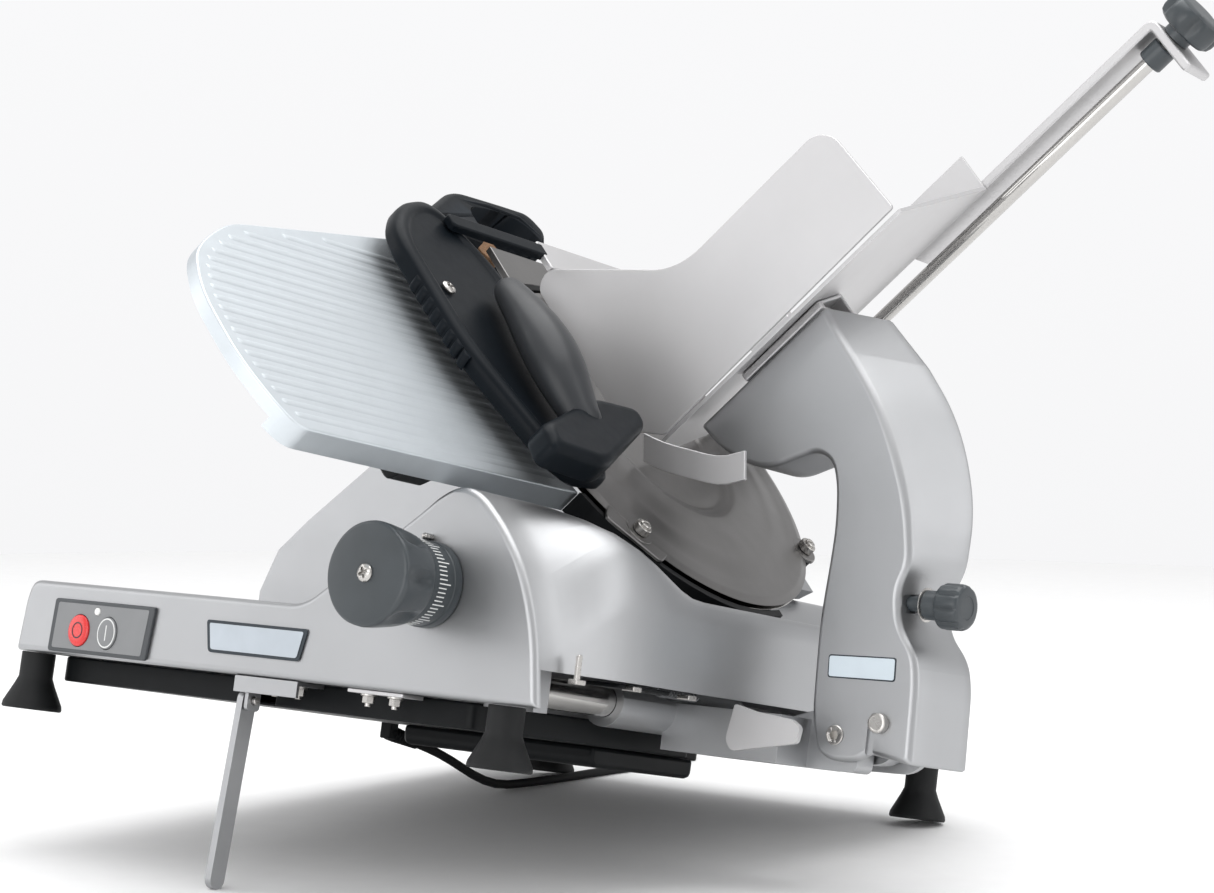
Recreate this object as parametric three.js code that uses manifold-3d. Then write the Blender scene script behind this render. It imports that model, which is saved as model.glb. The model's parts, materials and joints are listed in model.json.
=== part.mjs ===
// Gravity-feed deli meat slicer, propped up on its cleaning leg.
// Millimetres, +Z up. The machine is modelled level in its own frame: X to the operator's right,
// Y to the rear, Z up from the soles of the feet. It is then leaned back onto the cleaning leg.
// The knife frame has its origin at the knife's centre, x to the rear, y up along the blade
// and z out of the blade, which is also the direction in which product is fed.

import * as THREE from 'three';
import { mergeVertices } from 'three/addons/utils/BufferGeometryUtils.js';
import Module from 'manifold-3d';

const wasm = await Module();
wasm.setup();

// ---------- driving dimensions ----------
const GAP = 0.3;                      // clearance between pieces that rest on each other

const KNIFE_RADIUS = 165;             // 13 inch blade
const KNIFE_THICKNESS = 3;
const KNIFE_TILT = THREE.MathUtils.degToRad(46.8);   // blade normal, from vertical towards +X
const KNIFE_CENTRE = new THREE.Vector3(385, 267, 269);

const BASE_FRONT = -20;
const BASE_REAR = 590;
const BASE_BOTTOM = 46;
const BASE_WALL = 5;
const DECK_TOP = 103;
const SIDE_WALL_BOTTOM = 73;          // the carriage beam passes under the right side wall
const PAN_BOTTOM = 26;
const HOUSING_FRONT = 200;
const HOUSING_REAR = 432;

const FOOT_HEIGHT = BASE_BOTTOM - GAP;
const FOOT_RADIUS = 24;
const FEET = {
  foot_front_left: [0, 0],
  foot_front_right: [486, 0],
  foot_rear_left: [86, 565],
  foot_rear_right: [486, 565],
};

const LEG_PIVOT = new THREE.Vector3(240, -6, 28);
const LEG_LENGTH = 135;               // pivot to the centre of the rounded tip
const LEG_HALF_WIDTH = 7.5;
const LEG_THICKNESS = 6;
const LEG_LEAN = THREE.MathUtils.degToRad(3.5);      // forward lean against its stop

const KNOB_AXIS = { x: 417, z: 125 };
const STOP_BUTTON = { x: 68, z: 66 };
const START_BUTTON = { x: 99, z: 66 };
const BUTTON_HALF_WIDTH = 8.5;
const BUTTON_HALF_HEIGHT = 12.5;

const ROD = { x: 470, z: 60, radius: 12 };           // carriage slide rod, along Y
const BOSS_RADIUS = 19;
const BOSS_FRONT = 131;
const BOSS_REAR = 292;

const ARM_FRONT = 230;
const ARM_REAR = 285;
const ARM_PIVOT = { x: 612, z: 56, radius: 5 };
const LATCH = { x: 650, z: 68, radius: 4 };
const RELEASE = { x: 668, y: 245, z: 158.5 };

const WALL_FRONT = -62;               // product wall, knife frame x
const WALL_THICKNESS = 3;
const TRAY_START = 16;                // knife frame z of the tray's lower end
const TRAY_END = 300;
const TRAY_SLOPE = THREE.MathUtils.degToRad(23);
const TRAY_REAR = 160;                // knife frame x of the tray's rear edge
const GRIP_ROD = { x: 178, y: 43, radius: 6 };       // meat grip rod, along the feed direction
const GRIP_ROD_END = 483;

// The mains cord, in a level frame: x and y along the surface, z up from it.
const CORD_RADIUS = 4;
const GLAND = new THREE.Vector3(85, 340, 17);        // root of the strain relief, machine frame
const GLAND_DIRECTION = new THREE.Vector3(0.11, 0.973, -0.192).normalize();
const STRAIN_RELIEF_LENGTH = 32;
const CORD_ROUTE = [[88.6, 367, 51], [90, 380, 45.6], [91.6, 393, 39.6], [93.3, 406, 32.7],
  [95.2, 419, 25], [97.3, 432, 17.3], [99.8, 445, 10.8], [102.6, 458, 6.4], [105.6, 471, 4.4],
  [108.8, 484, 4.1], [112, 498, 4.1], [114.8, 512, 4.1], [117, 527, 4.1], [118.8, 542, 4.1],
  [119.4, 557, 4.1], [120.2, 573, 4.1], [121.4, 590, 4.1], [123.2, 607, 4.1], [125.6, 623, 4.1],
  [128.4, 639, 4.1], [130.8, 655, 4.1], [131.6, 668.8, 4.1]];
const COIL = { x: 76, y: 700, inner: 31, outer: 60, height: 16.3 };

const GAUGE_FACE = -3.5;              // knife frame z of the gauge plate's face when closed
const GAUGE_CUTOUT = KNIFE_RADIUS + 3.5;

// ---------- materials ----------
function finish(color, roughness, metalness) {
  return () => new THREE.MeshStandardMaterial({ color, roughness, metalness });
}
const castAluminium = finish(0xb9bbbd, 0.45, 0.85);
const brightAluminium = finish(0xd4dade, 0.35, 0.85);
const coverSteel = finish(0x8f8f8d, 0.4, 0.9);
const polishedSteel = finish(0xa9a7a2, 0.18, 1);
const screwSteel = finish(0x9a9893, 0.3, 1);
const blackRubber = finish(0x1b1e20, 0.75, 0);
const blackPlastic = finish(0x16191b, 0.5, 0);
const gripPlastic = finish(0x2a3037, 0.42, 0);
const handlePlastic = finish(0x3a3d41, 0.4, 0);
const knobPlastic = finish(0x4a5056, 0.35, 0);
const greyPlastic = finish(0xb9bcbc, 0.5, 0);
const redPlastic = finish(0xc8201c, 0.35, 0);
const lensPlastic = finish(0xe8e8e4, 0.25, 0);
const stoneBrown = finish(0x6a4a2e, 0.9, 0);

// ---------- shape helpers ----------

/** Closed shape from [x, y, cornerRadius] points; a corner with no radius stays sharp. */
function roundedShape(points) {
  const shape = new THREE.Shape();
  const count = points.length;
  points.forEach(([x, y, wanted = 0], i) => {
    const here = new THREE.Vector2(x, y);
    const before = new THREE.Vector2(...points[(i + count - 1) % count].slice(0, 2));
    const after = new THREE.Vector2(...points[(i + 1) % count].slice(0, 2));
    const radius = Math.min(wanted, 0.49 * here.distanceTo(before), 0.49 * here.distanceTo(after));
    const start = here.clone().addScaledVector(before.sub(here).normalize(), radius);
    const end = here.clone().addScaledVector(after.sub(here).normalize(), radius);
    if (i === 0) shape.moveTo(start.x, start.y);
    else shape.lineTo(start.x, start.y);
    if (radius > 0) shape.quadraticCurveTo(x, y, end.x, end.y);
  });
  shape.closePath();
  return shape;
}

/** Rectangle with equal corner radii. */
function rectangle(x0, y0, x1, y1, radius = 0) {
  return roundedShape([[x0, y0, radius], [x1, y0, radius], [x1, y1, radius], [x0, y1, radius]]);
}

/** Ellipse, or circle when the second radius is left out. */
function ellipse(x, y, radiusX, radiusY = radiusX) {
  return new THREE.Shape().absellipse(x, y, radiusX, radiusY, 0, Math.PI * 2);
}

/** Shape in (x, y), as thick as z0 to z1. */
function slabZ(shape, z0, z1, curveSegments = 6) {
  const options = { depth: z1 - z0, bevelEnabled: false, curveSegments };
  return new THREE.ExtrudeGeometry(shape, options).translate(0, 0, z0);
}

/** Shape in (x, z), as deep as y0 to y1. */
function slabY(shape, y0, y1, curveSegments = 6) {
  return slabZ(shape, -y1, -y0, curveSegments).rotateX(Math.PI / 2);
}

/** Shape in (y, z), as wide as x0 to x1. */
function slabX(shape, x0, x1, curveSegments = 6) {
  const axes = new THREE.Matrix4().makeBasis(
    new THREE.Vector3(0, 1, 0), new THREE.Vector3(0, 0, 1), new THREE.Vector3(1, 0, 0));
  return slabZ(shape, x0, x1, curveSegments).applyMatrix4(axes);
}

/** Box between two opposite corners. */
function box([x0, y0, z0], [x1, y1, z1]) {
  return new THREE.BoxGeometry(x1 - x0, y1 - y0, z1 - z0)
    .translate((x0 + x1) / 2, (y0 + y1) / 2, (z0 + z1) / 2);
}

/** Cylinder from a start point along an axis named 'x', 'y' or 'z'. */
function rod([x, y, z], axis, length, radius, segments = 24) {
  const geometry = new THREE.CylinderGeometry(radius, radius, length, segments);
  geometry.translate(0, length / 2, 0);
  if (axis === 'x') geometry.rotateZ(-Math.PI / 2);
  if (axis === 'z') geometry.rotateX(Math.PI / 2);
  return geometry.translate(x, y, z);
}

/** Solid of revolution about Z from [radius, height] pairs that start and end on the axis or close. */
function turned(profile, segments = 48) {
  const points = profile.map(([radius, height]) => new THREE.Vector2(radius, height));
  return new THREE.LatheGeometry(points, segments).rotateX(Math.PI / 2);
}

/** Closed skin through rings of equal length; each ring is a list of Vector3 round the body. */
function loft(rings) {
  const count = rings[0].length;
  const points = rings.flat();
  const faces = [];
  for (let a = 0; a + count < points.length; a += 1) {
    const b = (a + 1) % count === 0 ? a + 1 - count : a + 1;
    faces.push([a, b, b + count], [a, b + count, a + count]);
  }
  for (const [base, reversed] of [[0, true], [points.length - count, false]]) {
    const flat = points.slice(base, base + count).map((point) => new THREE.Vector2(point.x, point.z));
    const ringSign = Math.sign(THREE.ShapeUtils.area(flat));
    for (const face of THREE.ShapeUtils.triangulateShape(flat, [])) {
      const faceSign = Math.sign(THREE.ShapeUtils.area(face.map((i) => flat[i])));
      const [a, b, c] = face.map((i) => base + i);
      faces.push((faceSign === ringSign) === reversed ? [c, b, a] : [a, b, c]);
    }
  }
  const volume = faces.reduce((sum, [a, b, c]) => (
    sum + points[a].dot(points[b].clone().cross(points[c]))), 0);
  const geometry = new THREE.BufferGeometry();
  geometry.setFromPoints(points);
  geometry.setIndex(faces.flatMap(([a, b, c]) => (volume > 0 ? [a, b, c] : [c, b, a])));
  return geometry;
}

// ---------- joining and cutting ----------
function toSolid(geometry) {
  const bare = geometry.clone();
  bare.deleteAttribute('normal');
  bare.deleteAttribute('uv');
  const merged = mergeVertices(bare, 1e-4);
  return new wasm.Manifold(new wasm.Mesh({
    numProp: 3,
    vertProperties: new Float32Array(merged.attributes.position.array),
    triVerts: new Uint32Array(merged.index.array),
  }));
}

function toGeometry(solid) {
  const { vertProperties, triVerts } = solid.getMesh();
  const geometry = new THREE.BufferGeometry();
  geometry.setAttribute('position', new THREE.Float32BufferAttribute(vertProperties, 3));
  geometry.setIndex([...triVerts]);
  return geometry;
}

function join(first, ...others) {
  return toGeometry(others.reduce((solid, next) => solid.add(toSolid(next)), toSolid(first)));
}

function cut(body, ...tools) {
  return toGeometry(tools.reduce((solid, tool) => solid.subtract(toSolid(tool)), toSolid(body)));
}

// ---------- scene graph ----------
const object = new THREE.Group();     // stands on the surface
const machine = new THREE.Group();    // the level machine, leaned back as a whole
const knifeFrame = new THREE.Group(); // x to the rear, y up the blade, z out of the blade
const floorFrame = new THREE.Group(); // the cord and plug, which lie on the surface
object.add(machine, floorFrame);
machine.add(knifeFrame);
knifeFrame.position.copy(KNIFE_CENTRE);
knifeFrame.quaternion.setFromRotationMatrix(new THREE.Matrix4().makeBasis(
  new THREE.Vector3(0, 1, 0),
  new THREE.Vector3(-Math.cos(KNIFE_TILT), 0, Math.sin(KNIFE_TILT)),
  new THREE.Vector3(Math.sin(KNIFE_TILT), 0, Math.cos(KNIFE_TILT))));

function place(parent, name, geometry, material) {
  const mesh = new THREE.Mesh(geometry, material());
  mesh.name = name;
  parent.add(mesh);
  return mesh;
}

/** Machine-frame point of a knife-frame place, as [x, z]. */
function machinePoint(up, out) {
  return [
    KNIFE_CENTRE.x - up * Math.cos(KNIFE_TILT) + out * Math.sin(KNIFE_TILT),
    KNIFE_CENTRE.z + up * Math.sin(KNIFE_TILT) + out * Math.cos(KNIFE_TILT),
  ];
}

// ---------- base ----------

// Cross-sections of the base casting as [x, z] rings: low deck on the left, hump on the right.
const DECK_OUTLINE = [[-7, BASE_BOTTOM], [-3, 90], [1.5, 99], [10, DECK_TOP], [290, DECK_TOP],
  [303, 108]];
const FRONT_HUMP = [[398, 178], [412, 191], [428, 198], [444, 197], [456, 190], [476, 172],
  [497, 148], [510, 121], [519, 93], [527, BASE_BOTTOM]];
const MIDDLE_HUMP = [[398, 172], [412, 186], [428, 191], [446, 190], [470, 187], [495, 184],
  [518, 180], [535, 172], [540, 120], [540, BASE_BOTTOM]];
const REAR_HUMP = [[398, 160], [415, 167], [430, 168], [446, 156], [480, 118], [500, 121],
  [520, 137], [537, 142], [540, 130], [540, BASE_BOTTOM]];
const BASE_RIGHT = 540;
const CORNER_START = 480;             // right of this the rear corner is drawn in

// Stations along the base: y, cross-section, and how far its right side is drawn in.
const BASE_STATIONS = [[BASE_FRONT, FRONT_HUMP, 0], [60, MIDDLE_HUMP, 0], [152, REAR_HUMP, 0],
  [510, REAR_HUMP, 0], [555, REAR_HUMP, 20], [BASE_REAR, REAR_HUMP, 40]];

/** Ring moved inwards by a wall thickness, corner by corner. */
function insetRing(ring, distance) {
  return ring.map(([x, z], i) => {
    const [px, pz] = ring[(i + ring.length - 1) % ring.length];
    const [nx, nz] = ring[(i + 1) % ring.length];
    const into = new THREE.Vector2(z - pz, px - x).normalize();
    const out = new THREE.Vector2(nz - z, x - nx).normalize();
    const normal = into.clone().add(out).normalize();
    const reach = distance / Math.max(normal.dot(into), 0.5);
    return [x + normal.x * reach, z + normal.y * reach];
  });
}

function baseRings(inset) {
  return BASE_STATIONS.map(([y, hump, drawnIn], i) => {
    const outline = [...DECK_OUTLINE, ...hump];
    const ring = inset ? insetRing(outline, inset) : outline;
    const shift = i === 0 ? inset : i === BASE_STATIONS.length - 1 ? -inset : 0;
    const squeeze = 1 - drawnIn / (BASE_RIGHT - inset - CORNER_START);
    return ring.map(([x, z]) => {
      const isBottom = z < BASE_BOTTOM + inset + 0.5;
      const drawn = x > CORNER_START ? CORNER_START + (x - CORNER_START) * squeeze : x;
      return new THREE.Vector3(drawn, y + shift, inset && isBottom ? BASE_BOTTOM - 10 : z);
    });
  });
}

/** Pads inside the base's rim that the feet bolt to, each joined to the nearer end wall. */
function footPads() {
  const reach = 17;
  return Object.values(FEET).map(([x, y]) => {
    const isRear = y > (BASE_FRONT + BASE_REAR) / 2;
    const front = isRear ? y - reach : BASE_FRONT + 2;
    const rear = isRear ? BASE_REAR - 2 : y + reach;
    return box([Math.max(x - reach, -5), front, BASE_BOTTOM],
      [Math.min(x + reach, 494), rear, BASE_BOTTOM + 7]);
  });
}

function addBaseCasting() {
  const shell = cut(loft(baseRings(0)), loft(baseRings(BASE_WALL)));
  const underSide = box([508, -14, BASE_BOTTOM - 12], [550, BASE_REAR + 5, SIDE_WALL_BOTTOM]);
  const switchWindow = box([56, BASE_FRONT - 5, 51], [112, BASE_FRONT + 8, 82]);
  const shaftHole = rod([KNOB_AXIS.x, BASE_FRONT - 5, KNOB_AXIS.z], 'y', 20, 7.5);
  const padded = join(cut(shell, underSide), ...footPads());
  place(machine, 'base_casting', cut(padded, switchWindow, shaftHole), castAluminium);
}

/** Gear and motor housing that rises from the deck under the knife. */
function addMotorHousing() {
  const topPlane = -21.5;
  const wall = 6;
  const outer = [[40, DECK_TOP + GAP], [289, DECK_TOP + GAP], [302, 108.9], [396, 160.4],
    [414, 167.8], [430, 168.8], machinePoint(-108, topPlane), machinePoint(60, topPlane),
    [300, 312], [262, 306], [190, 268], [85, 185], [55, 158], [40, 122]];
  const inner = insetRing(outer.map(([x, z]) => [x, z]).reverse(), wall).reverse()
    .map(([x, z], i) => (i === 0 || i === 1 ? [x, DECK_TOP - 8] : [x, z]));
  const shell = slabY(roundedShape(outer), HOUSING_FRONT, HOUSING_REAR);
  const hollow = slabY(roundedShape(inner), HOUSING_FRONT + wall, HOUSING_REAR - wall);
  const housing = cut(shell, hollow);
  const bore = rod([0, 0, -70], 'z', 60, 20, 32)
    .applyMatrix4(new THREE.Matrix4().compose(
      knifeFrame.position, knifeFrame.quaternion, new THREE.Vector3(1, 1, 1)));
  place(machine, 'motor_housing', cut(housing, bore), castAluminium);
}

function addUnderside() {
  const panOutline = (wall) => roundedShape([[12 + wall, 14 + wall, 12], [445 - wall, 14 + wall, 8],
    [445 - wall, 284 - wall, 8], [272 - wall, 284 - wall], [272 - wall, 540 - wall, 8],
    [12 + wall, 540 - wall, 8]]);
  const panOuter = slabZ(panOutline(0), PAN_BOTTOM, BASE_BOTTOM - GAP);
  const panInner = slabZ(panOutline(3), PAN_BOTTOM + 3, BASE_BOTTOM + 5);
  const legNotch = box([231, 5, 20], [250, 62, 60]);
  place(machine, 'bottom_pan', cut(panOuter, panInner, legNotch), blackPlastic);

  const boxTop = PAN_BOTTOM - GAP;
  const boxOutline = roundedShape([[165, boxTop], [165, 10, 8], [296, 10, 8], [296, boxTop]]);
  place(machine, 'control_box', slabX(boxOutline, 250, 440), blackPlastic);
}

function addFeet() {
  const profile = [[0, 0], [FOOT_RADIUS - 1, 0], [FOOT_RADIUS, 1.5], [FOOT_RADIUS - 0.6, 5],
    [16, 20], [13.5, 26], [13.5, FOOT_HEIGHT], [0, FOOT_HEIGHT]];
  for (const [name, [x, y]] of Object.entries(FEET)) {
    place(machine, name, turned(profile, 24).translate(x, y, 0), blackRubber);
  }
}

function addSwitches() {
  const back = BASE_FRONT - GAP;
  const face = back - 2.6;
  const plate = slabY(roundedShape([[33, 48, 3], [143, 48, 3], [147, 90, 3], [35, 90, 3]]), face, back);
  const travelGap = 0.5;
  const openings = [STOP_BUTTON, START_BUTTON].map(({ x, z }) => slabY(
    ellipse(x, z, BUTTON_HALF_WIDTH + travelGap, BUTTON_HALF_HEIGHT + travelGap), face - 2, back + 2, 10));
  const lampHole = rod([85, face - 2, 82], 'y', 8, 3.3, 16);
  place(machine, 'switch_plate', cut(plate, ...openings, lampHole), greyPlastic);
  const button = ({ x, z }) => slabY(
    ellipse(x, z, BUTTON_HALF_WIDTH, BUTTON_HALF_HEIGHT), face - 2.4, BASE_FRONT + 3, 10);
  place(machine, 'stop_button', button(STOP_BUTTON), redPlastic);
  place(machine, 'start_button', button(START_BUTTON), greyPlastic);
  place(machine, 'indicator_lamp', rod([85, face - 1, 82], 'y', 3.4, 3, 16), lensPlastic);
}

// ---------- cleaning leg ----------
function addCleaningLeg() {
  const top = BASE_BOTTOM - GAP;
  const frontLeaf = box([236, -18, 33.5], [300, -15, top]);
  const topLeaf = box([236, -18, 42.5], [300, 12, top]);
  const lug = slabX(rectangle(-13, 20, 1, 44, 4), 244, 247.5);
  const pinHole = rod([230, LEG_PIVOT.y, LEG_PIVOT.z], 'x', 25, 3.3, 16);
  place(machine, 'leg_bracket', cut(join(frontLeaf, topLeaf, lug), pinHole), castAluminium);
  place(machine, 'leg_pin', rod([234, LEG_PIVOT.y, LEG_PIVOT.z], 'x', 17, 3, 16), screwSteel);

  const blade = new THREE.Shape();
  blade.absarc(0, 0, LEG_HALF_WIDTH, 0, Math.PI, false);
  blade.absarc(0, -LEG_LENGTH, LEG_HALF_WIDTH, Math.PI, Math.PI * 2, false);
  const bar = slabX(blade, -LEG_THICKNESS / 2, LEG_THICKNESS / 2, 8);
  const hole = rod([-10, 0, 0], 'x', 20, 3.3, 16);
  const leg = place(machine, 'cleaning_leg', cut(bar, hole), castAluminium);
  leg.position.copy(LEG_PIVOT);
  leg.rotation.x = -LEG_LEAN;
}

// ---------- slice thickness control ----------
function addIndexKnob() {
  const { x, z } = KNOB_AXIS;
  const dialBack = BASE_FRONT - GAP;
  const dial = rod([x, dialBack - 15, z], 'y', 15, 30, 40);
  const shaft = rod([x, dialBack - 20, z], 'y', 55, 7);
  place(machine, 'index_dial', join(dial, shaft), blackPlastic);

  const lobes = 7;
  const outline = new THREE.Shape();
  for (let step = 0; step < lobes * 8; step += 1) {
    const angle = (step / (lobes * 8)) * Math.PI * 2;
    const radius = 36 + 2 * Math.cos(lobes * angle);
    if (step === 0) outline.moveTo(radius, 0);
    else outline.lineTo(radius * Math.cos(angle), radius * Math.sin(angle));
  }
  const grip = slabZ(outline, 0, 42);
  const crown = turned([[0, 41.9], [36, 41.9], [34, 50], [26, 56], [10, 58], [0, 58]], 40);
  const socket = rod([0, 0, -1], 'z', 6, 7.4);
  const knob = cut(join(grip, crown), socket).rotateX(Math.PI / 2).translate(x, dialBack - 15 - GAP, z);
  place(machine, 'index_knob', knob, knobPlastic);
  place(machine, 'index_pointer', rod([x - 4, BASE_FRONT - 6, z + 34], 'y', 5.7, 2.5, 14), screwSteel);
}

/** Outline of the gauge plate in the knife frame, moved inwards at its lower and front edges. */
function gaugeOutline(inset, overrun) {
  const lowerEdge = -75 + inset;
  const points = [[-461 + inset, lowerEdge, 13], [-130 + overrun, lowerEdge], [-130 + overrun, 60],
    [-204 + overrun, 178 + overrun, 6], [-411 + overrun / 4, 134 + overrun, 20], [-449 + inset, 108, 24],
    [-471 + inset, 87, 24], [-487 + inset, 46, 40], [-485 + inset, -14, 60], [-474 + inset, -50, 20]];
  return roundedShape(points);
}

function addGaugePlate() {
  const flangeDepth = 20;
  const plateThickness = 6;
  const flangeWidth = 4;
  const slab = slabZ(gaugeOutline(0, 0), GAUGE_FACE - flangeDepth, GAUGE_FACE, 10);
  const under = slabZ(gaugeOutline(flangeWidth, 20), GAUGE_FACE - flangeDepth - 5,
    GAUGE_FACE - plateThickness, 10);
  const sideRelief = box([-520, -58, GAUGE_FACE - 40], [-400, 200, GAUGE_FACE - 10]);
  const knifeSpace = rod([0, 0, -60], 'z', 90, GAUGE_CUTOUT, 64);
  place(knifeFrame, 'gauge_plate', cut(slab, under, sideRelief, knifeSpace), brightAluminium);

  const web = roundedShape([[-44, -58, 5], [-28, -58, 5], [-10, GAUGE_FACE - plateThickness - GAP],
    [-62, GAUGE_FACE - plateThickness - GAP]]);
  place(knifeFrame, 'gauge_bracket', slabX(web, -300, -262), blackPlastic);
}

// ---------- knife and drive ----------
function addKnife() {
  const bottom = -KNIFE_THICKNESS;
  const blade = turned([[0, bottom], [KNIFE_RADIUS, bottom], [KNIFE_RADIUS, bottom + 0.5],
    [KNIFE_RADIUS - 14, 0], [0, 0]], 64);
  place(knifeFrame, 'knife', blade, polishedSteel);

  const guard = turned([[22, -20.8], [174, -20.8], [174, 0.2], [168, 0.2], [168, -18], [22, -18],
    [22, -20.8]], 56);
  const openSide = box([-260, -78, -60], [-96, 260, 30]);
  const rearSide = cut(box([40, -200, -60], [260, 260, 30]), rod([0, 0, -70], 'z', 110, 159, 56));
  const guardLugs = [[-111, -112, 172], [136, -88, 163]].map(([x, y, radius]) => {
    const reach = radius / Math.hypot(x, y);
    return rod([x * reach, y * reach, -20.8], 'z', 21, 11, 20);
  });
  const knifeSpace = rod([0, 0, -18], 'z', 30, KNIFE_RADIUS + 3, 56);
  const ring = cut(join(cut(guard, openSide, rearSide), ...guardLugs), knifeSpace);
  place(knifeFrame, 'ring_guard', ring, blackPlastic);

  const shaft = rod([0, 0, -62], 'z', 62 + bottom - GAP, 12, 28);
  const pulley = rod([0, 0, -60], 'z', 12, 45, 48);
  place(knifeFrame, 'knife_spindle', join(shaft, pulley), polishedSteel);
  const bearing = cut(rod([0, 0, -27], 'z', 10, 19.7, 32), rod([0, 0, -40], 'z', 40, 12.3, 28));
  place(knifeFrame, 'knife_bearing', bearing, screwSteel);
}

function addKnifeCover() {
  const dish = turned([[0, 1.2], [163, 1.2], [164, 2.2], [155, 4.2], [120, 7], [84, 7.8],
    [74, 5], [0, 5]], 64).translate(0, -1, 0);
  const chordDistance = 124;
  const chordCut = box([chordDistance, -200, -5], [260, 200, 40]).rotateZ(THREE.MathUtils.degToRad(166));
  const lugTop = 4.6;
  const lugs = [[-111, -112], [136, -88]].map(([x, y]) => rod([x, y, 1.2], 'z', lugTop - 1.2, 13, 24));
  const ear = slabZ(roundedShape([[-145, -103, 6], [-103, -141, 6], [-70, -120], [-118, -72]]), 1.2, 3.6);
  place(knifeFrame, 'knife_cover', join(cut(dish, chordCut), ...lugs, ear), coverSteel);
  const screw = ([x, y]) => rod([x, y, lugTop + GAP], 'z', 8.5, 7, 16);
  place(knifeFrame, 'cover_screw_front', screw([-111, -112]), screwSteel);
  place(knifeFrame, 'cover_screw_rear', screw([136, -88]), screwSteel);
}

const MOTOR = { x: 106, y: 6 };       // knife-frame place of the motor's axis

function addDrive() {
  const { x, y } = MOTOR;
  place(knifeFrame, 'motor', rod([x, y, -148], 'z', 84, 48, 40), castAluminium);
  place(knifeFrame, 'motor_pulley', join(rod([x, y, -60], 'z', 12, 16, 28),
    rod([x, y, -64 + GAP], 'z', 6, 7, 20)), screwSteel);
  const beltTurn = (margin) => {
    const [big, small] = [45 + margin, 16 + margin];
    const spread = Math.acos((big - small) / Math.hypot(x, y));
    const lean = Math.atan2(y, x);
    const shape = new THREE.Shape();
    shape.absarc(0, 0, big, lean + spread, lean - spread + Math.PI * 2, false);
    shape.absarc(x, y, small, lean - spread, lean + spread, false);
    return shape;
  };
  const belt = beltTurn(2.6);
  belt.holes.push(beltTurn(GAP));
  place(knifeFrame, 'drive_belt', slabZ(belt, -58, -50, 12), blackRubber);
}

function addSharpener() {
  const plate = roundedShape([[-60, 171], [-60, 211], [42, 211], [42, 236, 6], [96, 236, 12],
    [96, 160]]);
  const ringSpace = rod([0, 0, -30], 'z', 60, 177.6, 72);
  place(knifeFrame, 'sharpener_bracket', cut(slabZ(plate, -9, -3), ringSpace), coverSteel);

  const housing = slabZ(roundedShape([[-150, 216, 10], [-74, 270, 16], [30, 274, 8], [41, 252, 8],
    [12, 212]]), -44, 1);
  const mouth = slabZ(roundedShape([[-66, 200], [-66, 248, 12], [20, 252, 8], [24, 200]]), -34, 6);
  place(knifeFrame, 'sharpener_housing', cut(housing, mouth), blackPlastic);
  place(knifeFrame, 'grinding_stone', join(rod([-34, 230, -30], 'z', 12, 15, 32),
    rod([-34, 230, -33.7], 'z', 5, 4, 16)), stoneBrown);
}

// ---------- carriage ----------
function addSlideRod() {
  const bore = rod([ROD.x, -40, ROD.z], 'y', 680, ROD.radius + GAP, 32);
  const support = (name, plateFront, plateRear, tieFront, tieRear) => {
    const plate = box([446, plateFront, 44], [492, plateRear, 78]);
    const tie = box([446, tieFront, BASE_BOTTOM + 1], [465, tieRear, 78]);
    place(machine, name, cut(join(plate, tie), bore), castAluminium);
  };
  support('rod_support_front', 22, 38, BASE_FRONT + BASE_WALL + GAP, 30);
  support('rod_support_rear', 531, 546, 540, BASE_REAR - BASE_WALL - GAP);
  place(machine, 'slide_rod', rod([ROD.x, 24, ROD.z], 'y', 520, ROD.radius, 32), polishedSteel);
}

function addTransport() {
  const boss = rod([ROD.x, BOSS_FRONT, ROD.z], 'y', BOSS_REAR - BOSS_FRONT, BOSS_RADIUS, 32);
  const beam = box([478, 198, 30], [584, ARM_REAR + 1, 66]);
  const rearRib = slabY(roundedShape([[478, 30], [650, 34, 14], [667, 60, 8], [478, 60]]),
    ARM_REAR + 0.5, BOSS_REAR);
  const ribGap = box([584.5, ARM_FRONT - 5, 20], [700, ARM_REAR + 1.6, 90]);
  const lug = slabY(roundedShape([[560, 30], [628, 30, 6], [630, 70, 14], [594, 76, 14], [560, 64]]),
    239, 261);
  const boreRod = rod([ROD.x, -40, ROD.z], 'y', 680, ROD.radius + GAP, 32);
  const borePin = rod([ARM_PIVOT.x, 200, ARM_PIVOT.z], 'y', 120, ARM_PIVOT.radius + GAP);
  const body = cut(join(boss, beam, rearRib), ribGap);
  place(machine, 'transport_block', cut(join(body, lug), boreRod, borePin), castAluminium);

  const deflector = roundedShape([[545, 70, 2], [540, 43, 4], [546, 35, 4], [603, 46, 3],
    [605, 58, 3], [597, 63, 2], [564, 66, 3]]);
  place(machine, 'beam_deflector', slabY(deflector, 193, 198 - GAP), brightAluminium);
}

// Arm outline as [x, z, how far the rear face is wider there], from the lower left, anticlockwise.
const ARM_OUTLINE = [[597, 43, 0], [606, 38, 0], [618, 37, 0], [634, 39, 0], [642, 45, 0], [678, 40, 17],
  [676, 100, 17], [672, 121, 16], [655, 141, 14], [651, 167, 15], [659, 186, 18], [650, 230, 28],
  [633, 271, 35], [612, 309, 38], [586, 341, 38]];

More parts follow.
